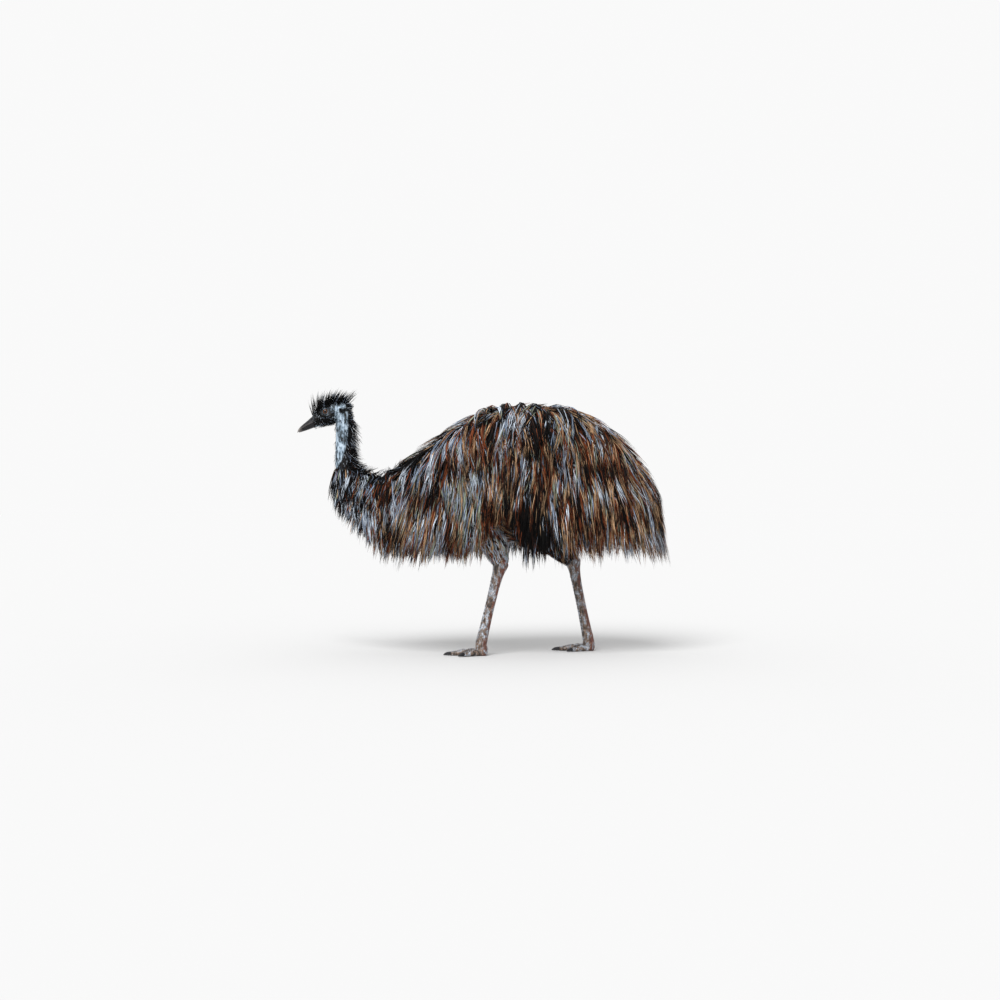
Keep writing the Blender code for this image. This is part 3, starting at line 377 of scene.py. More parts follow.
def surface_of(piece):
    """A piece's points on the bird's midline, and its triangles, as arrays."""
    mesh = piece.data
    mesh.calc_loop_triangles()
    points = np.array([v.co for v in mesh.vertices]) - MOVE
    return points, np.array([t.vertices for t in mesh.loop_triangles])


def tree_of(surface):
    """A search tree over a surface."""
    return BVHTree.FromPolygons(surface[0].tolist(), surface[1].tolist())


body_only = fused("body_only", body_forms, BODY_VOXEL, 4)
body_surface = surface_of(body_only)
coat_tree = tree_of(body_surface)
bpy.data.objects.remove(body_only)
trunk_skin = fused("trunk_skin", body_forms + thigh_forms, BODY_VOXEL, 3)

# %% [markdown]
# The head gets the most care. An emu's skull is long and flat on top, with a big eye set high, a
# brow over it, a round open ear behind, and a wide gape that runs back under the eye. The fused
# form is modelled further by pushing its points in and out, as with a thumb in clay.

# %% Head and upper neck
HEAD = (  # ahead, top, bottom, half width
    (-0.099, 0.000, -0.012, 0.008),
    (-0.092, 0.014, -0.023, 0.019),
    (-0.075, 0.028, -0.035, 0.030),
    (-0.048, 0.037, -0.042, 0.036),
    (-0.018, 0.040, -0.045, 0.037),
    (0.008, 0.035, -0.045, 0.035),
    (0.030, 0.025, -0.044, 0.030),
    (0.048, 0.013, -0.042, 0.026),
    (0.062, 0.005, -0.041, 0.0245),
)
HEAD_SIDES = 48
HEAD_ROUNDNESS = 2.15
UPPER_NECK_TO = 34  # row of the smooth neck


def head_form():
    """The skull with its flesh, from the back of the head to the root of the bill."""
    rings = []
    for ahead, top, bottom, wide in smooth(HEAD, 6):
        middle, half = (top + bottom) / 2, (top - bottom) / 2
        centre = head_point(ahead, 0.0, middle)
        rings.append(ring(centre, SIDEWAYS, HEAD_ABOVE, wide, half, half, HEAD_SIDES, HEAD_ROUNDNESS))
    occiput = head_point(HEAD[0][0] - 0.004, 0.0, -0.006)
    return closed_form(rings, first_tip=occiput)


upper_neck = closed_form(upright_rings(neck_rows[:UPPER_NECK_TO], 0.0, NECK_SIDES))
print("head:", len(HEAD), "rows, and", UPPER_NECK_TO, "of the neck")

# %% [markdown]
# The lids are rolled rims that stand a little proud of the cheek. Each eye gets a closed ring with
# an almond's outline, and the fusing melts it into the head. The grid is fine here: 1.5 mm.

# %% Lids, and the head as one skin
LID_RING = 0.0118
LID_THICKNESS = 0.0021
LID_OUT = 0.0365
LID_WRAP = 0.0016  # the lids' corners lie this much further in, round the ball
UPPER_LID = 0.35  # how much thicker the lid is above
EYE_LONG, EYE_LOW = 1.10, 0.92  # the opening is a little longer than high
HEAD_VOXEL = 0.0015


def lid_form(side):
    """Both lids of one eye, as an almond ring that is thick above and thin in front."""
    around, across = 40, 10
    turn = 2 * np.pi * np.arange(around) / around
    rings = []
    for t in turn:
        tilt = 2 * np.pi * np.arange(across) / across
        thick = LID_THICKNESS * (1.0 + UPPER_LID * max(0.0, math.sin(t)))
        reach = LID_RING + thick * np.cos(tilt)
        out = LID_OUT + thick * np.sin(tilt) - LID_WRAP * abs(math.cos(t))
        ahead = EYE_AT[0] + reach * math.cos(t) * EYE_LONG
        above = EYE_AT[2] + reach * math.sin(t) * EYE_LOW
        rings.append(head_point(ahead, side * out, above))
    points = [p for one in rings for p in one]
    faces = []
    for i in range(around):
        for j in range(across):
            a, b, k = i * across, (i + 1) % around * across, (j + 1) % across
            faces.append((a + j, a + k, b + k, b + j))
    return points, faces


head_skin = fused("head_skin", [head_form(), upper_neck, lid_form(-1), lid_form(1)], HEAD_VOXEL, 3)

# %% [markdown]
# The face is shaped with two small curves: a step that rises softly, and a bell that is full at its
# middle and fades with distance. Points are asked where they lie in the head's own axes, so that the
# measures hold although the head is tilted.


# %% Soft steps and bells
def in_head_axes(points):
    """Points of the model's place in the head's own axes: ahead, out and above."""
    apart = points - MOVE - HEAD_AT
    return apart @ HEAD_AHEAD, apart[:, 1], apart @ HEAD_ABOVE


def smooth_step(low, high, value):
    """0 up to low, 1 from high on, and a soft rise between."""
    t = np.clip((value - low) / (high - low), 0.0, 1.0)
    return t * t * (3 - 2 * t)


def bell(distance, size):
    """1 at no distance, fading to nothing at about twice the size."""
    return np.exp(-((distance / size) ** 2))


# %% [markdown]
# Each push is a bell, and minus values press in. Brow, cheek, lore and ear hollow are round or
# drawn-out dabs. The crease round the lids, the ear's rim, the gape and its lips are lines, so there
# the distance from the line counts. The midline of the head isn't pushed, so it stays smooth.

# %% Model the face
EAR_AT = (-0.062, 0.034, -0.010)
DABS = {  # ahead, above, how far drawn out along the head, push, size
    "brow": (0.004, 0.0215, 2.2, 0.0022, 0.0060),
    "ear_hollow": (EAR_AT[0], EAR_AT[2], 1.0, -0.0075, 0.0042),
    "cheek": (-0.020, -0.026, 1.6, 0.0022, 0.0110),
    "lore": (0.036, -0.002, 1.4, -0.0018, 0.0090),
}
LID_CREASE = 0.0172  # from the middle of the eye
EAR_RIM = 0.0075  # from the middle of the ear
GAPE_FROM = 0.028  # ahead of the eye
LIP = 0.0032  # above and below the gape


def model_face(piece):
    """Pushes the points of a head along their normals."""
    mesh = piece.data
    points, normals = (np.empty(len(mesh.vertices) * 3) for _ in range(2))
    mesh.vertices.foreach_get("co", points)
    mesh.vertices.foreach_get("normal", normals)
    points, normals = points.reshape(-1, 3), normals.reshape(-1, 3)
    ahead, out, above = in_head_axes(points)
    on_head = (ahead > -0.1) & (above > -0.06)
    push = np.zeros(len(points))
    for dab_ahead, dab_above, drawn_out, height, size in DABS.values():
        push += height * bell(np.hypot((ahead - dab_ahead) / drawn_out, above - dab_above), size)
    from_eye = np.hypot((ahead - EYE_AT[0]) / EYE_LONG, (above - EYE_AT[2]) / EYE_LOW)
    from_ear = np.hypot(ahead - EAR_AT[0], above - EAR_AT[2])
    from_gape = np.where(ahead > GAPE_FROM, np.abs(above + 0.0215 + 0.04 * (ahead - 0.03)), 1.0)
    lines = (  # distance from the line, push, size
        (from_eye - LID_CREASE, -0.0016, 0.0024),
        (from_ear - EAR_RIM, 0.0016, 0.0022),
        (from_gape, -0.0016, 0.0013),
        (from_gape - LIP, 0.0010, 0.0018),
    )
    for distance, height, size in lines:
        push += height * bell(distance, size)
    # fine folds where the cheek runs into the neck
    folds = 0.0006 * np.sin(above / 0.0021 + 2.0 * np.sin(ahead / 0.011))
    push += folds * bell(np.hypot(ahead + 0.045, above + 0.03), 0.03)
    side = np.clip((np.abs(out) - 0.010) / 0.012, 0, 1)
    points += normals * (push * side * on_head)[:, None]
    mesh.vertices.foreach_set("co", points.ravel())
    mesh.update()


model_face(head_skin)

# %% [markdown]
# The eyes sit in sockets that are cut out of the skin with a ball a fifth of a millimetre larger
# than the eye. The skin then closes round the eye and never runs through it.

# %% Cut the eye sockets
SOCKET_PLAY = 0.0002


def ball_form(centre, sizes, around=32, rows=18):
    """An ellipsoid with its half lengths along the head's ahead, out and above axes."""
    rings = []
    for row in range(1, rows):
        angle = math.pi * row / rows
        turn = 2 * np.pi * np.arange(around) / around
        ahead = centre[0] + sizes[0] * np.cos(turn) * math.sin(angle)
        out = np.full(around, centre[1] + sizes[1] * math.cos(angle))
        above = centre[2] + sizes[2] * np.sin(turn) * math.sin(angle)
        rings.append(head_point(ahead, out, above))
    outer = head_point(centre[0], centre[1] + sizes[1], centre[2])
    inner = head_point(centre[0], centre[1] - sizes[1], centre[2])
    return closed_form(rings, outer, inner)


def cut_away(piece, forms):
    """Cuts closed forms out of a piece."""
    cutter = new_piece("cutter", *merged(forms))
    cut = piece.modifiers.new("cut", "BOOLEAN")
    cut.operation = "DIFFERENCE"
    cut.object = cutter
    cut.solver = "MANIFOLD"
    with_modifiers(piece)
    bpy.data.objects.remove(cutter)
    piece.data.materials.clear()
    piece.data.polygons.foreach_set("material_index", np.zeros(len(piece.data.polygons), np.int32))
    return piece


def eye_form(side, radius, *counts):
    """A ball at the eye's place."""
    return ball_form((EYE_AT[0], side * EYE_AT[1], EYE_AT[2]), (radius,) * 3, *counts)


cut_away(head_skin, [eye_form(side, EYE_RADIUS + SOCKET_PLAY) for side in (-1, 1)])
print("head:", triangles(head_skin), "triangles")

# %% [markdown]
# Below the hock the leg is bare and scaly. The shank is an oval column that widens to the toe joint,
# and three flat-soled toes point forward. All are fused so that the skin runs on over the joint.

# %% Shanks, and the lines of the toes
TARSUS = 0.336  # length of the shank
TOE_JOINT_Z = 0.050
TARSUS_FORM = (  # share of the way to the toe joint, half width, radius behind, radius in front
    (-0.055, 0.020, 0.023, 0.022),
    (0.00, 0.027, 0.035, 0.030),
    (0.05, 0.026, 0.033, 0.027),
    (0.13, 0.021, 0.026, 0.022),
    (0.30, 0.0175, 0.021, 0.019),
    (0.60, 0.0170, 0.020, 0.018),
    (0.85, 0.0200, 0.022, 0.020),
    (1.00, 0.0235, 0.024, 0.022),
)
TOE_ROOT = (0.0165, 0.034)  # half width, height
TOE_TIP = (0.0105, 0.019)
TOES = {"inner": (-33, 0.086), "middle": (0, 0.122), "outer": (33, 0.084)}  # degrees, length
HEEL_BACK = 0.022


def leg_ends(leg):
    """The hock and the toe joint, as x and z."""
    hock = np.array(leg["hock"])
    way = np.array((leg["toe_x"], TOE_JOINT_Z)) - hock
    return hock, hock + way / np.linalg.norm(way) * TARSUS


def toe_line(word, name):
    """Start, heading and length of one toe."""
    leg = LEGS[word]
    degrees, length = TOES[name]
    outward = -1 if word == "left" else 1
    heading = math.radians(degrees) * -outward
    along = np.array((-math.cos(heading), -math.sin(heading), 0.0))
    start = np.array((leg_ends(leg)[1][0] + HEEL_BACK * 0.3, leg["y"], 0.0))
    return start, along, length + HEEL_BACK * 0.3


print("shank:", TARSUS, "m, toes:", {name: size[1] for name, size in TOES.items()})

# %% [markdown]
# A toe is a row of rings along its line, swollen at the joints. Its underside is cut flat, because a
# walking bird's toes carry their pads flat on the ground.

# %% Toes
SOLE_Z = 0.0006
KNUCKLES = 0.10  # how much the toe swells at its joints


def toe_size(share):
    """Half width and height of a toe at a share of its length."""
    wide, tall = (root + (tip - root) * share for root, tip in zip(TOE_ROOT, TOE_TIP))
    return wide, tall * (1 + KNUCKLES * math.sin(share * math.pi * 4))


def toe_form(word, name):
    """One toe, flat under the sole and swollen at its joints."""
    start, along, length = toe_line(word, name)
    across = np.array((-along[1], along[0], 0.0))
    rings = []
    for share in np.linspace(0, 1, 30):
        wide, tall = toe_size(share)
        centre = start + along * (length * share) + UPWARDS * (tall * 0.45)
        points = ring(centre, across, UPWARDS, wide, tall * 0.55, tall * 0.45, 24, 2.4)
        points[:, 2] = np.maximum(points[:, 2], SOLE_Z)
        rings.append(points)
    return closed_form(rings)


print("a toe's half width and height in mm:", [round(1000 * size, 1) for size in toe_size(0.5)])

# %% [markdown]
# The toe joint stands on a flat pad, from which the toes leave. Shank, calf, pad and toes overlap
# well, so the fusing has something to hold on to and leaves no notch between them.

# %% Pads, and the legs as one skin
PAD = (  # behind the toe joint, height, half width, radius behind, radius in front
    (0.002, 0.026, 0.026, 0.028, 0.026),
    (0.001, 0.008, 0.025, HEEL_BACK + 0.004, 0.024),
    (0.001, SOLE_Z, 0.021, HEEL_BACK, 0.020),
)
CALF_ROWS = 8  # the last rows of the drumstick belong to the leg's skin too
LEG_VOXEL = 0.0022


def foot_form(leg):
    """The toe joint, from under the shank down to the flat pad behind the toes."""
    hock, toe = leg_ends(leg)
    along = (toe - hock) / np.linalg.norm(toe - hock)
    sizes = TARSUS_FORM[-1][1:]
    rings = upright_rings([(*(toe - along * 0.02), *sizes), (*toe, *sizes)], leg["y"], LEG_SIDES)
    behind = np.array((1.0, 0.0, 0.0))
    for back, height, *size in PAD:
        centre = np.array((toe[0] + back, leg["y"], height))
        rings.append(ring(centre, SIDEWAYS, behind, *size, LEG_SIDES))
    return closed_form(rings)


leg_forms = []
for word, leg in LEGS.items():
    bones = (
        leg_rows(*leg_ends(leg), TARSUS_FORM, 6),
        leg_rows(leg["knee"], leg["hock"], DRUMSTICK, 4)[-CALF_ROWS:],
    )
    leg_forms += [closed_form(upright_rings(rows, leg["y"], LEG_SIDES)) for rows in bones]
    leg_forms += [foot_form(leg)] + [toe_form(word, name) for name in TOES]
leg_skin = fused("leg_skin", leg_forms, LEG_VOXEL, 3)

# %% [markdown]
# The three surfaces become one skin object. It stands for all the fleshy parts of the solid model,
# so no cut between parts shows. The joins between fine and coarse lie under the feathers.


# %% Join the skin
def joined(name, pieces):
    """Several mesh objects as one. The faces of each get a finish number of their own, in their order.
    """
    work = bmesh.new()
    for order, piece in enumerate(pieces):
        start = len(work.faces)
        work.from_mesh(piece.data)
        work.faces.ensure_lookup_table()
        for face in work.faces[start:]:
            face.material_index = order
    mesh = bpy.data.meshes.new(name)
    work.to_mesh(mesh)
    work.free()
    mesh.shade_smooth()
    for piece in pieces:
        bpy.data.objects.remove(piece)
    made = bpy.data.objects.new(name, mesh)
    bpy.context.scene.collection.objects.link(made)
    return made


head_surface = surface_of(head_skin)
thigh_surface = surface_of(trunk_skin)
skin = joined("skin", [head_skin, trunk_skin, leg_skin])
HARD_PARTS = ("eye", "bill", "claw")
FLESH = [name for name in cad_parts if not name.startswith(HARD_PARTS)]
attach(skin, "root")
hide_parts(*FLESH)
print("skin:", triangles(skin), "triangles")

# %% [markdown]
# Bare neck and face skin: living skin over thin fat, pale blue in an emu, darker where sparse
# bristles grow. It is matt with a faint moist sheen, finely creased about every 2 mm, and blotched
# with dark dabs about 1 cm wide and 3 cm long that run down the neck.

# %% Finish for the face and neck
MILLIMETRE = 0.001
SKIN_IOR = 1.45

face_finish, tree, shader = new_finish("bare_blue_skin", 0.55, SKIN_IOR)
where = add(tree, "ShaderNodeTexCoord").outputs["Object"]
drawn_out = add(
    tree, "ShaderNodeMapping", {"Vector": where}, values={"Scale": (1.0, 1.0, 0.30)}
).outputs["Vector"]
dabs = add(
    tree, "ShaderNodeTexNoise", {"Vector": drawn_out},
    values={"Scale": 1 / (9 * MILLIMETRE), "Detail": 3.0, "Roughness": 0.6},
).outputs["Fac"]
pale_colour = add(
    tree, "ShaderNodeValToRGB", {"Fac": dabs}, stops=(
        (0.37, "#161B1F"), (0.45, "#4E5E69"), (0.52, "#8496A6"), (0.62, "#B4C3D0"), (0.75, "#64879A"),
    ),
).outputs["Color"]
bare = add(tree, "ShaderNodeAttribute", attribute_name="bare").outputs["Fac"]
skin_colour = add(
    tree, "ShaderNodeMix", {0: bare, 7: pale_colour}, data_type="RGBA", values={6: paint("#101114")}
).outputs[2]
creases = add(
    tree, "ShaderNodeTexNoise", {"Vector": where},
    values={"Scale": 1 / (2 * MILLIMETRE), "Detail": 2.0},
).outputs["Fac"]
relief = add(
    tree, "ShaderNodeBump", {"Height": creases}, values={"Strength": 0.35, "Distance": 0.4 * MILLIMETRE}
).outputs["Normal"]
tree.links.new(skin_colour, shader.inputs["Base Color"])
tree.links.new(relief, shader.inputs["Normal"])

# %% [markdown]
# Under the coat the skin is dull and thick with dark down, in blotches a little over 1 cm wide. It
# is hardly seen, but the gaps between the feathers have to end in something dark and soft.

# %% Finish for the skin under the feathers
under_finish, tree, shader = new_finish("skin_under_feathers", 0.9, SKIN_IOR)
where = add(tree, "ShaderNodeTexCoord").outputs["Object"]
down = add(
    tree, "ShaderNodeTexNoise", {"Vector": where}, values={"Scale": 1 / (12 * MILLIMETRE), "Detail": 4.0}
).outputs["Fac"]
down_colour = add(
    tree, "ShaderNodeValToRGB", {"Fac": down}, stops=((0.35, "#0A0706"), (0.65, "#241812"))
).outputs["Color"]
tree.links.new(down_colour, shader.inputs["Base Color"])

# %% [markdown]
# Scaly leg skin: small many-sided keratin scales about 6 mm across, with dark grooves between them
# and a dull shine on each. Blue-grey, brown and near-black mottle them in patches about 2 cm wide
# and 4 cm long, and rust comes through at the back of the shank.

# %% Finish for the shanks and toes
KERATIN_IOR = 1.55
SCALE = 6 * MILLIMETRE

leg_finish, tree, shader = new_finish("scaly_leg_skin", 0.5, KERATIN_IOR)
where = add(tree, "ShaderNodeTexCoord").outputs["Object"]
scales = add(
    tree, "ShaderNodeTexVoronoi", {"Vector": where}, feature="DISTANCE_TO_EDGE",
    values={"Scale": 1 / SCALE},
).outputs["Distance"]
each = add(
    tree, "ShaderNodeTexVoronoi", {"Vector": where}, values={"Scale": 1 / SCALE}
).outputs["Color"]
each_tone = add(tree, "ShaderNodeSeparateColor", {"Color": each}).outputs["Red"]
upright = add(
    tree, "ShaderNodeMapping", {"Vector": where}, values={"Scale": (1.0, 1.0, 0.45)}
).outputs["Vector"]
mottling = add(
    tree, "ShaderNodeTexNoise", {"Vector": upright},
    values={"Scale": 1 / (17 * MILLIMETRE), "Detail": 3.0, "Roughness": 0.65},
).outputs["Fac"]
mottled = add(
    tree, "ShaderNodeValToRGB", {"Fac": mottling}, stops=(
        (0.36, "#120E0D"), (0.43, "#43342A"), (0.50, "#856C58"),
        (0.56, "#8B8F97"), (0.62, "#B6BFCA"), (0.70, "#8A6648"),
    ),
).outputs["Color"]
rear = add(tree, "ShaderNodeAttribute", attribute_name="rear").outputs["Fac"]
rust_dabs = add(
    tree, "ShaderNodeMapRange", {"Value": mottling}, values={"From Min": 0.62, "From Max": 0.44}
).outputs["Result"]
rust_share = add(tree, "ShaderNodeMath", {0: rear, 1: rust_dabs}, operation="MULTIPLY").outputs["Value"]
scale_colour = add(
    tree, "ShaderNodeMix", {0: rust_share, 6: mottled}, data_type="RGBA", values={7: paint("#6E3320")}
).outputs[2]
scale_tone = add(
    tree, "ShaderNodeMapRange", {"Value": each_tone}, values={"To Min": 0.60, "To Max": 1.25}
).outputs["Result"]
groove = add(
    tree, "ShaderNodeMapRange", {"Value": scales},
    values={"From Min": 0.02, "From Max": 0.14, "To Min": 0.35},
).outputs["Result"]
shade = add(tree, "ShaderNodeMath", {0: groove, 1: scale_tone}, operation="MULTIPLY").outputs["Value"]
grooved = add(
    tree, "ShaderNodeMix", {6: scale_colour, 7: shade},
    data_type="RGBA", blend_type="MULTIPLY", values={0: 1.0},
).outputs[2]
relief = add(
    tree, "ShaderNodeBump", {"Height": groove}, values={"Strength": 0.6, "Distance": 0.8 * MILLIMETRE}
).outputs["Normal"]
tree.links.new(grooved, shader.inputs["Base Color"])
tree.links.new(relief, shader.inputs["Normal"])

for finish in (face_finish, under_finish, leg_finish):
    skin.data.materials.append(finish)

# %% [markdown]
# The bill is horn, the same keratin as a cow's, grown in a broad shallow arch. The upper half has a
# rounded ridge, ends in a nail that curves over the tip, and has an open oval nostril on each side.

# %% Bill
BILL = (  # ahead, ridge, cutting edge, underside, half width
    (0.062, 0.0045, -0.0235, -0.0405, 0.0240),
    (0.080, -0.0030, -0.0250, -0.0410, 0.0225),
    (0.100, -0.0110, -0.0275, -0.0412, 0.0195),
    (0.118, -0.0180, -0.0305, -0.0408, 0.0155),
    (0.130, -0.0245, -0.0335, -0.0402, 0.0105),
)
BILL_UPPER_TIP = (0.141, -0.0385)
BILL_LOWER_TIP = (0.134, -0.0388)
BILL_SIDES = 36
BILL_SUNK = 0.004  # its root lies this far inside the skin
RIDGE = 0.0010  # of the upper bill, standing over its arch
RIDGE_SUNK = 0.0006
LOWER_NARROWER = 0.93
MOUTH_GAP = 0.0006
NAIL_SHARES = (0.35, 0.65, 0.87)  # rings between the last row and the tip
NOSTRIL_AT = (0.101, 0.0112, -0.0155)
NOSTRIL_SIZE = (0.0095, 0.0042, 0.0034)


def bill_ring(ahead, flat, crown, wide, ridge):
    """Half an oval: flat along the cutting edges, arched to a ridge or to the underside."""
    angle = np.pi * np.arange(BILL_SIDES) / (BILL_SIDES - 1)
    out = wide * np.cos(angle)
    above = flat + (crown - flat) * np.sin(angle) ** 0.85
    above += ridge * bell(out, wide * 0.30)
    return head_point(np.full(BILL_SIDES, ahead), out, above)


uppers, lowers = [], []
for ahead, ridge, edge, under, wide in smooth(BILL, 8):
    start = ahead - (BILL_SUNK if ahead == BILL[0][0] else 0.0)
    uppers.append(bill_ring(start, edge + MOUTH_GAP / 2, ridge - RIDGE_SUNK, wide, RIDGE))
    lowers.append(bill_ring(start, edge - MOUTH_GAP / 2, under, wide * LOWER_NARROWER, 0.0))
last_ahead, last_ridge, last_edge, last_under, last_wide = BILL[-1]
for share in NAIL_SHARES:
    wide = last_wide * math.sqrt(1 - share**1.6)
    ahead = last_ahead + (BILL_UPPER_TIP[0] - last_ahead) * share
    edge = last_edge + (BILL_UPPER_TIP[1] - last_edge) * share
    ridge = last_ridge + (BILL_UPPER_TIP[1] - last_ridge) * share**1.5
    uppers.append(bill_ring(ahead, edge, ridge, wide, RIDGE_SUNK * (1 - share)))
    ahead = last_ahead + (BILL_LOWER_TIP[0] - last_ahead) * share
    edge = last_edge + (BILL_LOWER_TIP[1] - last_edge) * share
    lowers.append(bill_ring(ahead, edge, last_under, wide * 0.9, 0.0))
upper_tip = head_point(BILL_UPPER_TIP[0], 0.0, BILL_UPPER_TIP[1])
lower_tip = head_point(BILL_LOWER_TIP[0], 0.0, BILL_LOWER_TIP[1])
bill_upper = new_piece("upper_bill_horn", *closed_form(uppers, None, upper_tip))
bill_lower = new_piece("lower_bill_horn", *closed_form(lowers, None, lower_tip))
ahead, out, above = NOSTRIL_AT
cut_away(bill_upper, [ball_form((ahead, side * out, above), NOSTRIL_SIZE) for side in (-1, 1)])

# %% [markdown]
# Weathered horn: dark brown-black keratin in thin layers along the bill, paler and browner where it
# wears, at the tip and along the cutting edge. Real layers are about half a millimetre apart, too
# fine to show here, so the grain is drawn 3 mm wide and runs lengthwise.

# %% Finish for horn
def mark(mesh, name, numbers):
    """Gives each point of a mesh a number that its finish can read."""
    mesh.attributes.new(name, "FLOAT", "POINT").data.foreach_set("value", numbers.astype(np.float32))


horn_finish, tree, shader = new_finish("weathered_horn", 0.45, KERATIN_IOR, Specular_IOR_Level=0.25)
where = add(tree, "ShaderNodeTexCoord").outputs["Object"]
layered = add(
    tree, "ShaderNodeMapping", {"Vector": where},
    values={"Rotation": (0.0, -HEAD_PITCH, 0.0), "Scale": (0.12, 1.0, 1.0)},
).outputs["Vector"]
grain = add(
    tree, "ShaderNodeTexNoise", {"Vector": layered},
    values={"Scale": 1 / (3 * MILLIMETRE), "Detail": 5.0},
).outputs["Fac"]
grained = add(
    tree, "ShaderNodeValToRGB", {"Fac": grain},
    stops=((0.32, "#060506"), (0.52, "#131216"), (0.68, "#2E2C32"), (0.82, "#6E7280")),
).outputs["Color"]
worn = add(tree, "ShaderNodeAttribute", attribute_name="worn").outputs["Fac"]
horn_colour = add(
    tree, "ShaderNodeMix", {0: worn, 6: grained}, data_type="RGBA", values={7: paint("#8A837E")}
).outputs[2]
relief = add(
    tree, "ShaderNodeBump", {"Height": grain}, values={"Strength": 0.4, "Distance": 0.5 * MILLIMETRE}
).outputs["Normal"]
tree.links.new(horn_colour, shader.inputs["Base Color"])
tree.links.new(relief, shader.inputs["Normal"])
for piece, node in ((bill_upper, "bill_upper"), (bill_lower, "bill_lower")):
    piece.data.materials.append(horn_finish)
    ahead, _, above = in_head_axes(np.array([v.co for v in piece.data.vertices]))
    cutting_edge = np.interp(ahead, [row[0] for row in BILL], [row[2] for row in BILL])
    wear = 0.70 * smooth_step(0.112, 0.138, ahead) + 0.15 * bell(above - cutting_edge - 0.004, 0.003)
    mark(piece.data, "worn", wear.clip(0, 1))
    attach(piece, "root")
    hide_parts(node)
print("bill:", triangles(bill_upper) + triangles(bill_lower), "triangles")

# %% [markdown]
# A bird's eye shows little white: the iris fills the opening, amber brown in an emu, round a black
# pupil. The wet front is a clear coat over it. Each point of the ball knows how far it lies from the
# eye's axis, and the finish turns that into pupil, iris and dark rim.

# %% Eyes
TEAR_IOR = 1.38
eye_finish, tree, shader = new_finish(
    "wet_eye", 0.30, TEAR_IOR,
    Specular_IOR_Level=0.0, Coat_Weight=1.0, Coat_Roughness=0.03, Coat_IOR=TEAR_IOR,
)
from_axis = add(tree, "ShaderNodeAttribute", attribute_name="from_axis").outputs["Fac"]
eye_colour = add(
    tree, "ShaderNodeValToRGB", {"Fac": from_axis}, stops=(
        (0.00, "#050404"), (0.38, "#050404"), (0.42, "#3A2010"),
        (0.56, "#5A3416"), (0.68, "#2C180B"), (0.74, "#0A0605"),
    ),
).outputs["Color"]
tree.links.new(eye_colour, shader.inputs["Base Color"])
for side, word in ((-1, "left"), (1, "right")):
    eye = new_piece(f"eyeball_{word}", *eye_form(side, EYE_RADIUS, 64, 48), eye_finish)
    ahead, out, above = in_head_axes(np.array([v.co for v in eye.data.vertices]))
    gap = np.hypot(ahead - EYE_AT[0], above - EYE_AT[2]) / EYE_RADIUS
    gap = np.where(out * side > EYE_AT[1] - 0.001, gap, 1.0)
    mark(eye.data, "from_axis", gap)
    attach(eye, "root")
    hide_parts(f"eye_{word}")
print("eyes:", round(2000 * EYE_RADIUS, 1), "mm across")

# %% [markdown]
# Nails: blunt, hardly curved, made for walking. Each is a tapering oval that starts inside its toe
# and clears the ground by 2 mm. They are horn, like the bill, so they wear its finish.

# %% Nails
CLAW = {"inner": 0.026, "middle": 0.032, "outer": 0.026}
CLAW_LIFT = 0.002
NAIL_SUNK = -0.25  # share of its length at which it starts, inside the toe
NAIL_SIDES = 20


def nail_form(word, name):
    """One nail, as deep as its toe at the root and closed to a point."""
    start, along, length = toe_line(word, name)
    base = start + along * length
    across = np.array((-along[1], along[0], 0.0))
    rings = []
    for share in np.linspace(NAIL_SUNK, 0.97, 14):
        size = 0.92 * (1 - max(share, 0.0) ** 2) ** 0.55
        height = TOE_TIP[1] * 0.84 * size
        low = CLAW_LIFT + 0.0004
        centre = base + along * (CLAW[name] * share) + UPWARDS * (low + height / 2)
        half = TOE_TIP[0] * 0.9 * size
        rings.append(ring(centre, across, UPWARDS, half, height / 2, height / 2, NAIL_SIDES))
    tip = base + along * CLAW[name] + UPWARDS * (CLAW_LIFT + 0.0012)
    return closed_form(rings, None, tip)


for word in LEGS:
    for name in TOES:
        nail = new_piece(f"nail_{word}_{name}", *nail_form(word, name), horn_finish)
        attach(nail, "root")
        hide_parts(f"claw_{word}_{name}")
print("nails:", len(LEGS) * len(TOES))

# %% [markdown]
# Broad scutes run down the front of each shank and over each toe, like roof tiles: each one is a
# thin curved plate whose lower edge stands over the next.

# %% One scute
PLATE_COLUMNS = 9
PLATE_ROWS = 5
PLATE_SUNK = 0.0012  # its back lies this far under the skin
PLATE_ROUNDING = 0.22  # how much shorter it is at its sides


def plate_form(centre, along, front, half_turn, radii, length, rise):
    """A curved plate round a limb: centre of the limb, way down it, way it faces, and its size."""
    across = np.cross(along, front)
    columns, rows = PLATE_COLUMNS, PLATE_ROWS
    outer, inner = [], []
    for row in range(rows):
        share = row / (rows - 1)
        lift = rise * (0.25 + 0.75 * share)  # the lower edge stands highest
        for column in range(columns):
            turn = half_turn * (2 * column / (columns - 1) - 1)
            trim = 1 - PLATE_ROUNDING * abs(turn / half_turn) ** 3
            facing = front * (math.cos(turn) * radii[1]) + across * (math.sin(turn) * radii[0])
            spot = centre + along * (length * (share - 0.5) * trim)
            out = facing / np.linalg.norm(facing)
            edge = 1 - abs(turn / half_turn) ** 4
            outer.append(spot + facing + out * (lift * edge))
            inner.append(spot + facing - out * PLATE_SUNK)
    points = outer + inner
    faces = []
    size = rows * columns
    for row in range(rows - 1):
        for column in range(columns - 1):
            a = row * columns + column
            quad = (a, a + 1, a + columns + 1, a + columns)
            faces.append(quad)
            faces.append(tuple(size + i for i in reversed(quad)))
    rim = list(range(columns))
    rim += [r * columns + columns - 1 for r in range(1, rows)]
    rim += [(rows - 1) * columns + c for c in range(columns - 2, -1, -1)]
    rim += [r * columns for r in range(rows - 2, 0, -1)]
    for a, b in zip(rim, rim[1:] + rim[:1]):
        faces.append((a, a + size, b + size, b))
    return points, faces


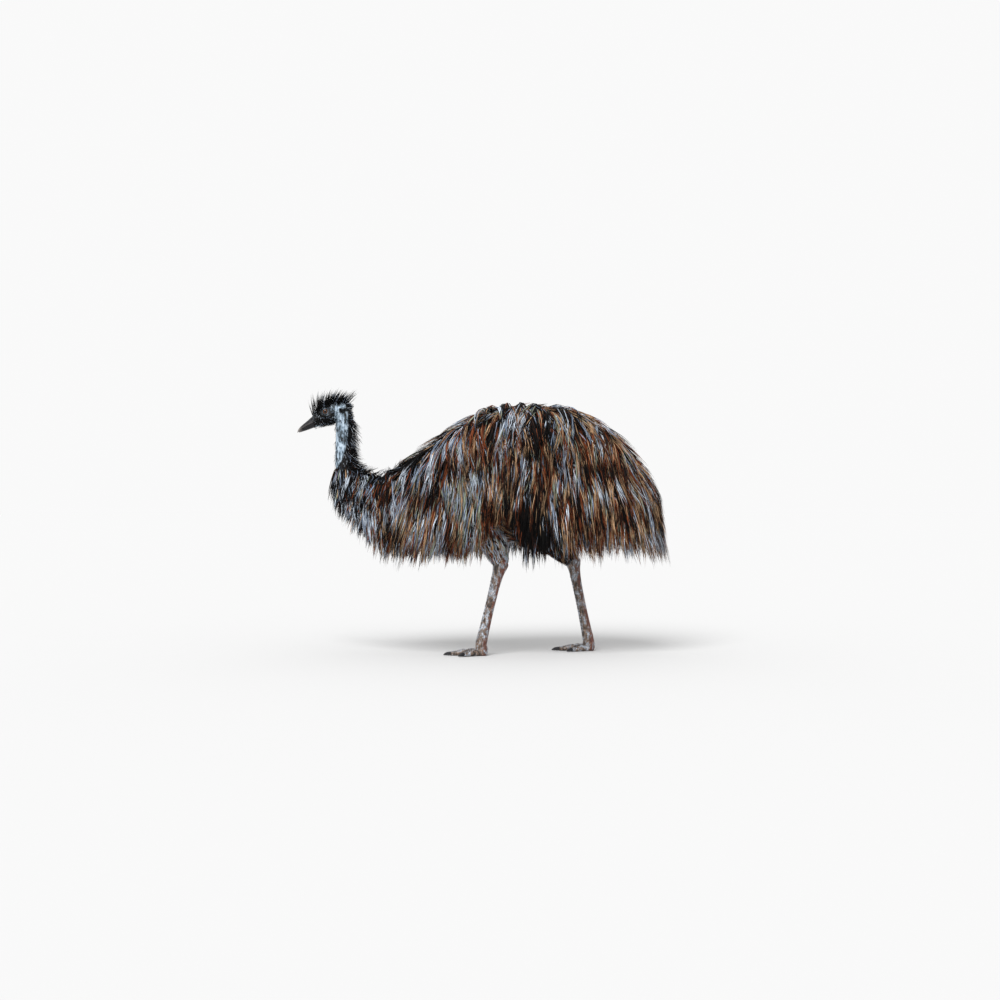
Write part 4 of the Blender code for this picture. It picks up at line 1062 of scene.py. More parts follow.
# %% [markdown]
# Nineteen scutes go down each shank and nine or thirteen over each toe. Each is a little longer than
# its share of the way, so that it laps over the next one.

# %% Lay the scutes
SHANK_SCUTES = 19
SHANK_SPAN = (0.16, 0.83)  # where they start, and how far they run, as shares of the way
SHANK_LAP = 1.12
SHANK_RISE = 0.0016
TOE_SCUTES = {"inner": 9, "middle": 13, "outer": 9}
TOE_SPAN = (0.22, 0.76)
TOE_LAP = 1.15
TOE_RISE = 0.0012
TOE_HALF_TURN = 1.05


def spaced(span, count):
    """Shares of the way to the middles of a row of plates."""
    return [span[0] + span[1] * (i + 0.5) / count for i in range(count)]


shank = smooth(TARSUS_FORM, 10)
scutes = []
for word, leg in LEGS.items():
    hock, toe = leg_ends(leg)
    along = np.array((toe[0] - hock[0], 0.0, toe[1] - hock[1])) / TARSUS
    front = np.array((along[2], 0.0, -along[0]))
    length = TARSUS * SHANK_SPAN[1] / SHANK_SCUTES * SHANK_LAP
    for share in spaced(SHANK_SPAN, SHANK_SCUTES):
        x, z = hock + (toe - hock) * share
        near = shank[np.argmin(abs(shank[:, 0] - share))]
        centre = np.array((x, leg["y"], z))
        radii, half_turn = (near[1], near[3]), 0.62 + 0.25 * share
        scutes.append(plate_form(centre, along, front, half_turn, radii, length, SHANK_RISE))
    for name, count in TOE_SCUTES.items():
        start, heading, toe_length = toe_line(word, name)
        length = toe_length * TOE_SPAN[1] / count * TOE_LAP
        for share in spaced(TOE_SPAN, count):
            wide, tall = toe_size(share)
            centre = start + heading * (toe_length * share) + UPWARDS * (tall * 0.45)
            radii = (wide, tall * 0.55)
            scutes.append(plate_form(centre, heading, UPWARDS, TOE_HALF_TURN, radii, length, TOE_RISE))
scute_piece = new_piece("leg_scutes", *merged(scutes))
down_plate = np.repeat(np.arange(PLATE_ROWS) / (PLATE_ROWS - 1), PLATE_COLUMNS)
mark(scute_piece.data, "rim", np.tile(down_plate, 2 * len(scutes)))
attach(scute_piece, "root")
print("scutes:", len(scutes), "plates,", triangles(scute_piece), "triangles")

# %% [markdown]
# A scute is a smoother, shinier plate of the same keratin as the small scales. It carries painted shade
# where it comes out from under the last one, and a dark line where it ends. Its tone drifts over a
# centimetre or so, and so from plate to plate.


# %% Finish for the scutes
def grey(value):
    """An even grey, as a linear colour."""
    return (value, value, value, 1.0)


scute_finish, tree, shader = new_finish("scute_keratin", 0.42, KERATIN_IOR)
where = add(tree, "ShaderNodeTexCoord").outputs["Object"]
tone = add(
    tree, "ShaderNodeTexNoise", {"Vector": where},
    values={"Scale": 1 / (14 * MILLIMETRE), "Detail": 4.0, "Roughness": 0.7},
).outputs["Fac"]
scute_colour = add(
    tree, "ShaderNodeValToRGB", {"Fac": tone}, stops=(
        (0.36, "#15100E"), (0.44, "#4A3A2E"), (0.52, "#7C7A7C"), (0.61, "#AAB4C0"), (0.72, "#7C5E45"),
    ),
).outputs["Color"]
rim = add(tree, "ShaderNodeAttribute", attribute_name="rim").outputs["Fac"]
# Painted shade on the top of each plate, under the one before it, and a dark line along its lower edge.
rim_shade = add(
    tree, "ShaderNodeValToRGB", {"Fac": rim},
    stops=((0.0, grey(0.45)), (0.25, grey(1.0)), (0.75, grey(1.0)), (1.0, grey(0.30))),
).outputs["Color"]
edged = add(
    tree, "ShaderNodeMix", {6: scute_colour, 7: rim_shade},
    data_type="RGBA", blend_type="MULTIPLY", values={0: 1.0},
).outputs[2]
relief = add(
    tree, "ShaderNodeBump", {"Height": tone}, values={"Strength": 0.3, "Distance": 0.5 * MILLIMETRE}
).outputs["Normal"]
tree.links.new(edged, shader.inputs["Base Color"])
tree.links.new(relief, shader.inputs["Normal"])
scute_piece.data.materials.append(scute_finish)

# %% [markdown]
# Now the coat. An emu's feathers hang like hair: each has two thin shafts with loose barbs that
# don't hook together, so the plumage falls in strands. The lie is what makes it read as an emu: it
# parts along the back, fans out from the hump, and hangs straight once the body falls away.

# %% The lie of the coat
FAN_X = 0.17  # the hump, from which the coat fans out
FAN_LEAN = 0.90
FAN_REACH = (-0.55, 0.50)  # past this far from the hump the lean grows no more
PARTING = 0.50
PARTING_FADES = (0.42, 0.66)
NECK_PARTING = 0.25
NECK_ENDS_X = -0.36


def lie(x, side):
    """The way the coat lies at one x: down, fanned from the hump, and parted along the back."""
    if x < NECK_ENDS_X:
        return Vector((0.0, side * NECK_PARTING, -1.0))
    ahead = FAN_LEAN * max(FAN_REACH[0], min(x - FAN_X, FAN_REACH[1]))
    parting = PARTING * (1 - float(smooth_step(*PARTING_FADES, x)))
    return Vector((ahead, side * parting, -1.0))


# %% [markdown]
# A guide line is laid step by step. It keeps to the surface while there is body under it, and drops
# nearly plumb, like real plumage, once the flank turns in beneath it.

# %% Follow the surface, then hang
STEPS = 12  # of the guide line that each lock follows
FALLS_AT = -0.05  # height of the outward way at which the coat leaves the body
HANGING_LEAN = (0.25, 0.15)  # how much of its lie it keeps then, along and to the side


def turned(direction, normal, angle):
    """A direction turned about the outward way."""
    return direction * math.cos(angle) + normal.cross(direction) * math.sin(angle)


def follow(tree, root, length, turn, wish_at, hangs=True):
    """Points and outward ways down a surface from a root, hanging once it falls away beneath them."""
    base, normal, _, _ = tree.find_nearest(root)
    step = length / STEPS
    free = False
    track = []
    for _ in range(STEPS + 1):
        track.append((*base, *normal))
        wish = wish_at(base)
        if hangs and not free and normal.z < FALLS_AT:
            free = True
            flat = Vector((normal.x, normal.y, 0))
            normal = flat.normalized() if flat.length > 0.2 else normal
        if free:
            heading = Vector((wish.x * HANGING_LEAN[0], wish.y * HANGING_LEAN[1], -1)).normalized()
            base = base + turned(heading, normal, turn * 0.5) * step
            near, out, _, _ = tree.find_nearest(base)
            if (base - near).dot(out) < 0:
                base = near
        else:
            heading = (wish - normal * wish.dot(normal)).normalized()
            base, normal, _, _ = tree.find_nearest(base + turned(heading, normal, turn) * step)
    return track


# %% [markdown]
# The hem is nearly level. It rises to a notch over the near leg, which shows the drumstick, and
# slopes up in front towards the breast.

# %% The hem
HEM_Z = 0.378
LEG_NOTCH = {"x": 0.098, "half": 0.090, "rise": 0.145}
FRONT_HEM = (-0.40, 1.3)  # where it starts to rise, and how steeply


def hem(x, y):
    """Height of the coat's lower edge below a point of the flank."""
    notch = 0.0
    if y < 0:
        notch = max(0.0, 1 - (abs(x - LEG_NOTCH["x"]) / LEG_NOTCH["half"]) ** 2)
    front_x, slope = FRONT_HEM
    return HEM_Z + LEG_NOTCH["rise"] * notch + slope * max(0.0, front_x - x)


# %% [markdown]
# Roots are scattered over the skin by area and then thinned, so that each keeps its distance from
# the next: 12.5 mm on the trunk. Feathers really sit like that, spaced, but in no rows that show.

# %% Scatter roots
chance = np.random.default_rng(11)
TRIES = 6  # spots tried for each root that is wanted
BARE_ABOVE = (0.775, -0.48)  # the upper neck is higher than this, and ahead of this


def scattered(surface, count, spacing, wanted):
    """Roots spread evenly over a surface, where wanted(points, normals) says so."""
    a, b, c = (surface[0][surface[1][:, i]] for i in range(3))
    cross = np.cross(b - a, c - a)
    area = np.linalg.norm(cross, axis=1) / 2
    pick = chance.choice(len(area), count * TRIES, p=area / area.sum())
    u, v = chance.random((2, len(pick)))
    fold = u + v > 1
    u, v = np.where(fold, 1 - u, u), np.where(fold, 1 - v, v)
    points = a[pick] + (b - a)[pick] * u[:, None] + (c - a)[pick] * v[:, None]
    normals = cross[pick] / (2 * area[pick])[:, None]
    keep = wanted(points, normals)
    points, normals = points[keep], normals[keep]
    taken, kept = {}, []
    for i, point in enumerate(points):
        cell = tuple((point // spacing).astype(int))
        around = [
            taken.get((cell[0] + dx, cell[1] + dy, cell[2] + dz))
            for dx in (-1, 0, 1) for dy in (-1, 0, 1) for dz in (-1, 0, 1)
        ]
        if all(other is None or np.linalg.norm(points[other] - point) > spacing for other in around):
            taken[cell] = i
            kept.append(i)
            if len(kept) == count:
                break
    return points[kept], normals[kept]


def on_coat(points, normals):
    """All of the trunk and lower neck, but not the bare upper neck."""
    return (points[:, 2] < BARE_ABOVE[0]) | (points[:, 0] > BARE_ABOVE[1])


roots, root_normals = scattered(body_surface, 5200, 0.0125, on_coat)
print("roots:", len(roots))

# %% [markdown]
# Each root carries one lock: a guide line laid over the body, round which a handful of strands is
# built. Locks are long on the trunk, shorter on the neck and shortest under the belly, and those of
# the flanks are cut to the hem. The hem is left ragged, with tufts a few centimetres wide.

# %% Lay the guides
TRUNK_LENGTH = 0.225
NECK_LENGTH = 0.120
BELLY_LENGTH = 0.085
LENGTH_VARIES = (0.8, 1.2)
MIXED_SIDES = 0.030  # locks as near as this to the midline may fall to either side
UNDERSIDE = (-0.62, 0.60)  # the belly faces down more than this, and is lower than this
HEM_TUFTS = 0.055
HEM_UNEVEN = (-0.022, 0.020)
SHORTEST_LOCK = 0.030
SWIRL = 0.34  # how far neighbouring locks lean together, as on windblown grass
RIDGE_LIFT = 0.026  # locks along the back stand this high before they fall
RIDGE_TURN = 0.45  # how unevenly they fall to either side of the parting
kept, tracks, lengths, lifts = [], [], [], []
for root, normal in zip(roots, root_normals):
    side = 1 if root[1] > 0 else -1
    if abs(root[1]) < MIXED_SIDES and chance.random() < 0.5:
        side = -side
    belly = normal[2] < UNDERSIDE[0] and root[2] < UNDERSIDE[1]
    neck_share = float(smooth_step(-0.28, -0.50, root[0]))
    length = TRUNK_LENGTH + (NECK_LENGTH - TRUNK_LENGTH) * neck_share
    length *= chance.uniform(*LENGTH_VARIES)
    if belly:
        length = BELLY_LENGTH * chance.uniform(*LENGTH_VARIES)
    elif root[2] < hem(root[0], root[1]) + 0.015:
        continue
    elif normal[2] <= 0.25:
        tuft = HEM_TUFTS * noise.noise(Vector((root[0] * 26, root[1] * 26, 4.0)))
        room = root[2] - hem(root[0], root[1]) + tuft + chance.uniform(*HEM_UNEVEN)
        length = min(length * 1.25, max(room, SHORTEST_LOCK))
    ridge = float(smooth_step(0.55, 0.95, normal[2]))
    turn = chance.uniform(-0.14, 0.14) + SWIRL * noise.noise(Vector(root) * 7)
    turn += ridge * chance.uniform(-RIDGE_TURN, RIDGE_TURN)
    lay = (lambda p: Vector((0.9, 0.0, -0.3))) if belly else (lambda p: lie(p.x, side))
    kept.append(root)
    tracks.append(follow(coat_tree, Vector(root), length, turn, lay, not belly))
    lengths.append(length)
    ridge *= smooth_step(-0.40, -0.05, root[0])
    lifts.append(RIDGE_LIFT * ridge * chance.uniform(0.4, 1.2) + chance.uniform(0.0, 0.004))
roots, tracks, lengths, lifts = (np.array(each) for each in (kept, tracks, lengths, lifts))
print("guides:", len(tracks), "of", lengths.min().round(3), "to", lengths.max().round(3), "m")

# %% [markdown]
# A strand is a thin three-sided blade that tapers to a point, solid all round, so that it casts and
# catches light from any side. The strands are worked out together, with arrays instead of a loop,
# because there are tens of thousands of them. Within a lock they start apart, draw together, and wave a
# little. They are held in near the body, so that the dressed bird keeps close to the size of its solid
# model.


# %% Build strands
MOST_RISE = 0.085  # off the body; set by the solid model's box, not by the bird
ROOT_CROWDING = 1.15  # more than 1 draws a strand's stations towards its root
LIFTED_BY = 0.22  # share of the way at which a raised lock has its full lift
WAVE = 5.5  # radians along a strand
LOCK_WAVE = 1.6  # size of the wave that a lock shares, against a strand's own


def spread(values, times):
    """Each value again and again, for the strands of a lock or the points of a strand."""
    return np.repeat(values, times, axis=0)


def unit(ways):
    """Ways made one metre long."""
    return ways / np.linalg.norm(ways, axis=-1, keepdims=True)


def strand_points(tracks, lengths, lifts, per_lock, look):
    """Rings of three points for every strand's stations, its tip, and the number of its guide."""
    count = len(tracks) * per_lock
    guide = spread(np.arange(len(tracks)), per_lock)
    shares = np.linspace(0, 1, len(look["taper"]) + 1) ** ROOT_CROWDING
    place = shares * chance.uniform(look["shortest"], 1.0, count)[:, None] * STEPS
    low = np.minimum(place.astype(int), STEPS - 1)
    part = (place - low)[..., None]
    both = tracks[guide[:, None], low] * (1 - part) + tracks[guide[:, None], low + 1] * part
    spot, out = both[..., :3], unit(both[..., 3:])
    across = unit(np.cross(np.gradient(spot, axis=1), out))
    slope = spread(chance.uniform(*look["slope"], len(tracks)), per_lock)
    rise = smooth_step(0.0, LIFTED_BY, shares) * lifts[guide][:, None]
    rise = rise + (slope * lengths[guide])[:, None] * shares
    rise = rise + chance.uniform(0.0, look["layer"], count)[:, None] * shares + look["clear"]
    rise = MOST_RISE * np.tanh(rise / MOST_RISE)
    rise[:, 0] = -look["sink"]
    aside = chance.normal(0.0, look["spread"], count)[:, None] * (1 - look["gather"] * shares)
    own_wave = chance.uniform(0, 2 * np.pi, count)
    shared_wave = chance.uniform(0, 2 * np.pi, len(tracks))[guide]
    for wave, size in ((own_wave, 1.0), (shared_wave, LOCK_WAVE)):
        aside = aside + look["sway"] * size * np.sin(wave[:, None] + shares * WAVE) * shares
    slide = chance.uniform(-1, 1, count)[:, None] * look["spread"] * (1 - 0.5 * shares)
    along = unit(np.gradient(spot, axis=1))
    spot = spot + out * rise[..., None] + across * aside[..., None] + along[:, :1] * slide[..., None]
    along = unit(np.gradient(spot, axis=1))
    across = unit(np.cross(along, out))
    out = np.cross(across, along)
    twist = chance.uniform(-look["twist"], look["twist"], count)[:, None, None]
    c, s = np.cos(twist), np.sin(twist)
    across, out = across * c + out * s, out * c - across * s
    taper = np.array(look["taper"])[None, :, None]
    half = chance.uniform(*look["width"], count)[:, None, None] * taper / 2
    body, across, out = spot[:, :-1], across[:, :-1], out[:, :-1]
    edge = body + out * look["thick"] * taper
    rings = np.stack((body - across * half, edge, body + across * half), axis=2)
    return rings, spot[:, -1], guide


# %% [markdown]
# All strands of a piece have their faces in the same order, so one small list does for all of them,
# moved on by a strand's count of points each time. That is far quicker than a mesh for each strand.


# %% Faces of a strand
def strand_faces(stations):
    """Faces of one strand: a cap at the root, three sides, and a point."""
    faces = [(0, 1, 2)]
    for row in range(stations - 2):
        for i in range(3):
            a, b = row * 3 + i, row * 3 + (i + 1) % 3
            faces += [(a, b + 3, b), (a, a + 3, b + 3)]
    last = (stations - 2) * 3
    for i in range(3):
        faces.append((last + i, last + 3, last + (i + 1) % 3))
    return np.array(faces)


# %% [markdown]
# Every strand carries a few numbers that its finish reads: which pigment it has near the root and
# which at the tip, how light it is, and how far along it a point lies. It also gets its own tiny
# patch on a map of the body, unrolled along the back and round the girth, so that its colours
# survive when the model is baked.

# %% Turn strands into a piece
MAP_PATCH = 0.003  # side of a strand's patch, on a map one unit wide


def coat_piece(name, rings, tip, marks, finish):
    """One mesh piece of many strands. marks holds their two pigments and their lightness."""
    count, body_rows = rings.shape[:2]
    per = body_rows * 3 + 1
    points = np.concatenate((rings.reshape(count, -1, 3), tip[:, None]), axis=1) + MOVE
    faces = strand_faces(body_rows + 1)
    all_faces = (faces[None] + (np.arange(count) * per)[:, None, None]).reshape(-1, 3)
    mesh = bpy.data.meshes.new(name)
    mesh.vertices.add(count * per)
    mesh.vertices.foreach_set("co", points.astype(np.float32).ravel())
    mesh.loops.add(all_faces.size)
    mesh.loops.foreach_set("vertex_index", all_faces.astype(np.int32).ravel())
    mesh.polygons.add(len(all_faces))
    mesh.polygons.foreach_set("loop_start", np.arange(0, all_faces.size, 3, dtype=np.int32))
    mesh.update(calc_edges=True)
    mesh.validate()
    mesh.shade_smooth()
    share = np.append(np.repeat(np.linspace(0, 1, body_rows + 1)[:-1], 3), 1.0)
    aside = np.append(np.tile((0.0, 0.5, 1.0), body_rows), 0.5)
    values = {"along": np.tile(share, count)}
    for label, numbers in zip(("pigment", "tip_pigment", "light"), marks):
        values[label] = spread(numbers, per)
    for label, numbers in values.items():
        mark(mesh, label, numbers)
    patch = np.stack((aside, share), axis=1) * MAP_PATCH
    spots = (unrolled(rings[:, 0, 1])[:, None] * 0.99 + MAP_PATCH + patch[None]).reshape(-1, 2)
    layer = mesh.uv_layers.new(name="OFBake")
    layer.data.foreach_set("uv", spots[all_faces.ravel()].astype(np.float32).ravel())
    mesh.materials.append(finish)
    piece = bpy.data.objects.new(name, mesh)
    bpy.context.scene.collection.objects.link(piece)
    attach(piece, "root")
    print(name, count, "strands,", len(all_faces), "triangles")
    return piece


def unrolled(points):
    """Places on the body's map, from 0 to 1: along the back, and round the girth."""
    along = points[:, 0] - 0.6 * points[:, 2].clip(0.75)
    girth = np.arctan2(points[:, 1], points[:, 2] - 0.70) / (2 * np.pi) + 0.5
    along = (along - along.min()) / max(float(np.ptp(along)), 1e-6)
    girth = (girth - girth.min()) / max(float(np.ptp(girth)), 1e-6)
    return np.stack((along, girth), axis=1)


# %% [markdown]
# Pigments. The coat is a mix of black, umber, rust, straw and bleached blue-grey strands. How much of
# each grows where is set by a few soft zones: black on the front of the neck, blue-grey over the
# shoulders and hump, rust and straw towards the rump and along the hem. The black low between the legs
# is painted shade, and the pale patch at the knee is a painted highlight.

# %% Pigments by zone
PIGMENTS = ("black", "umber", "rust", "straw", "sage", "slate", "frost")
PIGMENT_HEX = ("#060505", "#2B1811", "#743B1F", "#B08E6D", "#8D9482", "#8391A6", "#C3CDD9")
ZONES = {  # shares of each pigment
    "hump": (0.42, 0.14, 0.08, 0.06, 0.03, 0.20, 0.07),
    "shoulder": (0.36, 0.14, 0.12, 0.06, 0.03, 0.20, 0.09),
    "flank": (0.28, 0.18, 0.21, 0.15, 0.04, 0.09, 0.05),
    "rump": (0.20, 0.17, 0.18, 0.28, 0.03, 0.08, 0.06),
    "hem": (0.13, 0.11, 0.22, 0.36, 0.02, 0.04, 0.12),
    # Painted shade: the black low between the legs stands for the shade there.
    "painted_shade_between_legs": (0.68, 0.10, 0.05, 0.05, 0.01, 0.08, 0.03),
    "throat": (0.80, 0.10, 0.03, 0.01, 0.00, 0.04, 0.02),
    "bib": (0.42, 0.04, 0.06, 0.02, 0.02, 0.22, 0.22),
    "crease": (0.95, 0.03, 0.00, 0.00, 0.00, 0.02, 0.00),
    # Painted highlight: the knee zone's pale strands stand for light on the front of the drumstick under
    # the coat.
    "knee": (0.05, 0.03, 0.04, 0.26, 0.20, 0.10, 0.32),
}


def within(low, high, soft, value):
    """1 between low and high, fading to 0 over a soft edge."""
    rise = smooth_step(low - soft, low + soft, value)
    return rise * (1 - smooth_step(high - soft, high + soft, value))


def zone_weights(points):
    """How strongly each zone holds at each point, as rows that add up to one."""
    x, y, z = points.T
    low = 1 - smooth_step(0.50, 0.62, z)
    bib_height = z + 0.25 * (x + 0.5)
    above_dip = z - 0.735 - 0.35 * np.maximum(x + 0.32, 0)
    zones = {
        "hump": smooth_step(0.86, 0.98, z) * (1 - smooth_step(0.35, 0.5, x)),
        "shoulder": (1 - smooth_step(-0.25, 0.0, x)) * smooth_step(-0.50, -0.40, x),
        "flank": np.full(len(x), 0.55),
        "rump": 0.9 * smooth_step(0.35, 0.6, x),
        "hem": low * 0.8,
        # Painted shade: black strands low between the legs.
        "painted_shade_between_legs": 6 * low * within(0.15, 0.33, 0.03, x),
        "throat": 4 * (1 - smooth_step(-0.49, -0.43, x)) * (1 - smooth_step(0.78, 0.84, z)),
        "bib": 12 * within(-0.575, -0.435, 0.02, x) * within(0.655, 0.80, 0.02, bib_height),
        "crease": 14 * within(-0.51, -0.24, 0.03, x) * smooth_step(-0.025, 0.015, above_dip),
        # Painted highlight: pale strands where light falls on the front of the drumstick.
        "knee": 5 * within(-0.090, 0.0, 0.02, x) * within(0.47, 0.71, 0.04, z),
    }
    table = np.stack([zones[name] for name in ZONES], axis=1)
    return table / table.sum(axis=1, keepdims=True)


# %% [markdown]
# Within a zone each strand draws its pigment by chance. Most strands of a lock draw alike, so that
# the coat shows locks and not noise, and the mix drifts between darker and paler patches.

# %% Draw the pigments
SAME_AS_LOCK = 0.65  # share of strands that have their whole lock's pigment
PATCHES = 0.55  # how far the mix drifts between dark and pale from place to place
PATCH_SIZE = 0.10


def shared_by_lock(guide):
    """One chance number for each strand, the same for most strands of a lock."""
    of_lock = chance.random(guide.max() + 1)[guide]
    return np.where(chance.random(len(guide)) < SAME_AS_LOCK, of_lock, chance.random(len(guide)))


def pigment_mark(number):
    """Where a pigment of that number lies on the finish's ramp."""
    return (number + 0.5) / len(PIGMENTS)


def pick_pigments(points, guide):
    """A pigment number for each strand, by the zone that it lies in."""
    shares = zone_weights(points) @ np.array(list(ZONES.values()))
    steps = np.cumsum(shares / shares.sum(axis=1, keepdims=True), axis=1)
    drift = np.array([noise.noise(Vector(point) / PATCH_SIZE) for point in points])
    draw = (shared_by_lock(guide) + PATCHES * drift).clip(0.0, 0.999)
    return pigment_mark((draw[:, None] > steps).sum(axis=1).clip(0, len(PIGMENTS) - 1))


def coat_marks(rings, guide):
    """Pigments at a strand's inner and outer half, and its lightness."""
    inner, outer = (pick_pigments(rings[:, row, 1], guide) for row in (1, -1))
    return inner, outer, shared_by_lock(guide)


def few_marks(count, shares):
    """Marks drawn from fixed shares of pigments, for the small feathers."""
    kinds = [PIGMENTS.index(name) for name in shares]
    drawn = pigment_mark(chance.choice(kinds, count, p=list(shares.values())))
    return drawn, drawn, chance.random(count)


# %% [markdown]
# Feather keratin: soft and matt. The loose barbs break up every shine, so hardly any light is sent back
# as from a mirror and dark feathers look truly black. Barbs are about 1 mm apart, too fine to show here,
# so they are drawn as changes of tone about 7 mm long. A strand has painted shade at its root, where the
# others shade it, and is a little darker at its tip. It changes from its inner to its outer pigment part
# of the way along.

# %% Finish for feathers
feather_finish, tree, shader = new_finish("loose_feather", 0.62, KERATIN_IOR, Specular_IOR_Level=0.12)
inner, outer, light, along = (
    add(tree, "ShaderNodeAttribute", attribute_name=name).outputs["Fac"]
    for name in ("pigment", "tip_pigment", "light", "along")
)
stops = [(i / len(PIGMENT_HEX), code) for i, code in enumerate(PIGMENT_HEX)]
ramps = [add(tree, "ShaderNodeValToRGB", {"Fac": fac}, stops=stops) for fac in (inner, outer)]
for ramp in ramps:
    ramp.color_ramp.interpolation = "CONSTANT"
change_at = add(
    tree, "ShaderNodeMapRange", {"Value": light}, values={"To Min": 0.30, "To Max": 0.70}
).outputs["Result"]
past = add(tree, "ShaderNodeMath", {0: along, 1: change_at}, operation="SUBTRACT").outputs["Value"]
share = add(
    tree, "ShaderNodeMapRange", {"Value": past}, values={"From Min": -0.06, "From Max": 0.06}
).outputs["Result"]
inner_colour, outer_colour = (ramp.outputs["Color"] for ramp in ramps)
pigment = add(
    tree, "ShaderNodeMix", {0: share, 6: inner_colour, 7: outer_colour}, data_type="RGBA"
).outputs[2]
brightness = add(
    tree, "ShaderNodeMapRange", {"Value": light}, values={"To Min": 0.60, "To Max": 1.35}
).outputs["Result"]
toned = add(
    tree, "ShaderNodeMix", {6: pigment, 7: brightness},
    data_type="RGBA", blend_type="MULTIPLY", values={0: 1.0},
).outputs[2]
where = add(tree, "ShaderNodeTexCoord").outputs["Object"]
barbs = add(
    tree, "ShaderNodeTexNoise", {"Vector": where}, values={"Scale": 1 / (7 * MILLIMETRE), "Detail": 3.0}
).outputs["Fac"]
streak = add(
    tree, "ShaderNodeMapRange", {"Value": barbs},
    values={"From Min": 0.3, "From Max": 0.7, "To Min": 0.75, "To Max": 1.15},
).outputs["Result"]
streaked = add(
    tree, "ShaderNodeMix", {6: toned, 7: streak},
    data_type="RGBA", blend_type="MULTIPLY", values={0: 1.0},
).outputs[2]
# Painted shade: each strand is darkened towards its root, where the other strands shade it, and a little
# at its tip.
painted_root_shade = add(
    tree, "ShaderNodeValToRGB", {"Fac": along},
    stops=((0.0, grey(0.25)), (0.35, grey(0.9)), (0.85, grey(1.0)), (1.0, grey(0.7))),
).outputs["Color"]
feather_colour = add(
    tree, "ShaderNodeMix", {6: streaked, 7: painted_root_shade},
    data_type="RGBA", blend_type="MULTIPLY", values={0: 1.0},
).outputs[2]
tree.links.new(feather_colour, shader.inputs["Base Color"])

# %% [markdown]
# The trunk's coat is made in pieces by region and side, each small enough to handle and to bake.

# %% Feathers of the trunk and lower neck
TRUNK_LOOK = {
    "taper": (0.50, 0.85, 1.0, 0.90, 0.60),  # share of its full width at each station
    "shortest": 0.62,  # strand of a lock, as a share of the guide
    "slope": (0.06, 0.21),  # how steeply it leaves the body
    "layer": 0.014,  # how much further out the tips of some lie
    "clear": 0.003,  # off the skin at least
    "sink": 0.006,  # of its root, in the skin
    "spread": 0.0090,  # of a lock's roots
    "gather": 0.78,  # how far its tips draw together
    "sway": 0.0045,
    "twist": 0.6,
    "width": (0.0028, 0.0060),
    "thick": 0.0013,
}
PER_LOCK = 8
regions = {
    "neck": (-9.0, -0.34),
    "shoulder": (-0.34, -0.06),
    "saddle_front": (-0.06, 0.10),
    "saddle_back": (0.10, 0.26),
    "haunch": (0.26, 0.44),
    "rump": (0.44, 9.0),
}
for region, (start, end) in regions.items():
    for side, word in ((-1, "left"), (1, "right")):
        here = (roots[:, 0] >= start) & (roots[:, 0] < end) & (roots[:, 1] * side >= 0)
        chosen = (tracks[here], lengths[here], lifts[here])
        rings, tip, guide = strand_points(*chosen, PER_LOCK, TRUNK_LOOK)
        coat_piece(f"feathers_{region}_{word}", rings, tip, coat_marks(rings, guide), feather_finish)

# %% [markdown]
# Shorter feathers lie every way along the parting. They soften it, so that it reads as tousled
# plumage and not as a braid, and they close the line where the long ones leave the skin.

# %% Feathers of the parting
RIDGE_LOOK = dict(
    TRUNK_LOOK, taper=(0.6, 1.0, 0.9, 0.55), slope=(0.03, 0.14), layer=0.010, spread=0.008, gather=0.5
)


def on_ridge(points, normals):
    """The top of the back and of the lower neck."""
    return (normals[:, 2] > 0.3) & (np.abs(points[:, 1]) < 0.075) & (points[:, 0] > -0.50)


places, _ = scattered(body_surface, 900, 0.0105, on_ridge)
sizes = chance.uniform(0.07, 0.13, len(places))
sizes = sizes * (0.6 + 0.4 * smooth_step(-0.45, -0.15, places[:, 0]))
guides = []
for place, size in zip(places, sizes):
    fore = -1.0 if place[0] < FAN_X + chance.uniform(-0.1, 0.1) else 1.0
    way = Vector((fore, chance.uniform(-0.8, 0.8) + 5 * place[1], -0.2))
    guides.append(follow(coat_tree, Vector(place), size, chance.uniform(-0.3, 0.3), lambda p: way))
raised = RIDGE_LIFT * chance.uniform(0.1, 0.9, len(places))
raised = raised * smooth_step(-0.40, -0.05, places[:, 0])
rings, tip, guide = strand_points(np.array(guides), sizes, raised, PER_LOCK - 1, RIDGE_LOOK)
coat_piece("feathers_parting", rings, tip, coat_marks(rings, guide), feather_finish)

# %% [markdown]
# The upper neck is nearly bare at its sides. Hair-like bristles stand off its nape and throat, and
# only a few lie on the pale skin between.

# %% Bristles of the upper neck
BRISTLE_LOOK = {
    "taper": (0.7, 1.0, 0.8, 0.5),
    "shortest": 0.6,
    "slope": (0.12, 0.42),
    "layer": 0.004,
    "clear": 0.0006,
    "sink": 0.003,
    "spread": 0.0015,
    "gather": 0.3,
    "sway": 0.0012,
    "twist": 0.6,
    "width": (0.0014, 0.0028),
    "thick": 0.0008,
}
print("bristles:", [1000 * size for size in BRISTLE_LOOK["width"]], "mm wide")

# %% [markdown]
# Where is the skin bare? Behind the eye, round the ear, and down the front and sides of the neck,
# where the bristles close in from the nape further down. The same answer thins the bristles and,
# later on, makes the skin pale.

# %% Where the skin is bare
NECK_AXIS_X = -0.558
NAPE_LIMIT = ((0.735, -1.3), (0.800, -0.1), (0.850, 0.40), (0.925, 0.72))  # height, how far round
PALE_PATCH = {"ahead": -0.054, "above": 0.004, "long": 0.037, "tall": 0.025}
DARK_EAR = (0.0055, 0.0105)  # dark up to the first distance, pale from the second on
head_tree = tree_of(head_surface)


def from_head(points):
    """How far ahead of the head's middle points lie, and how far above, in its own axes."""
    apart = points - HEAD_AT
    return apart @ HEAD_AHEAD, apart @ HEAD_ABOVE


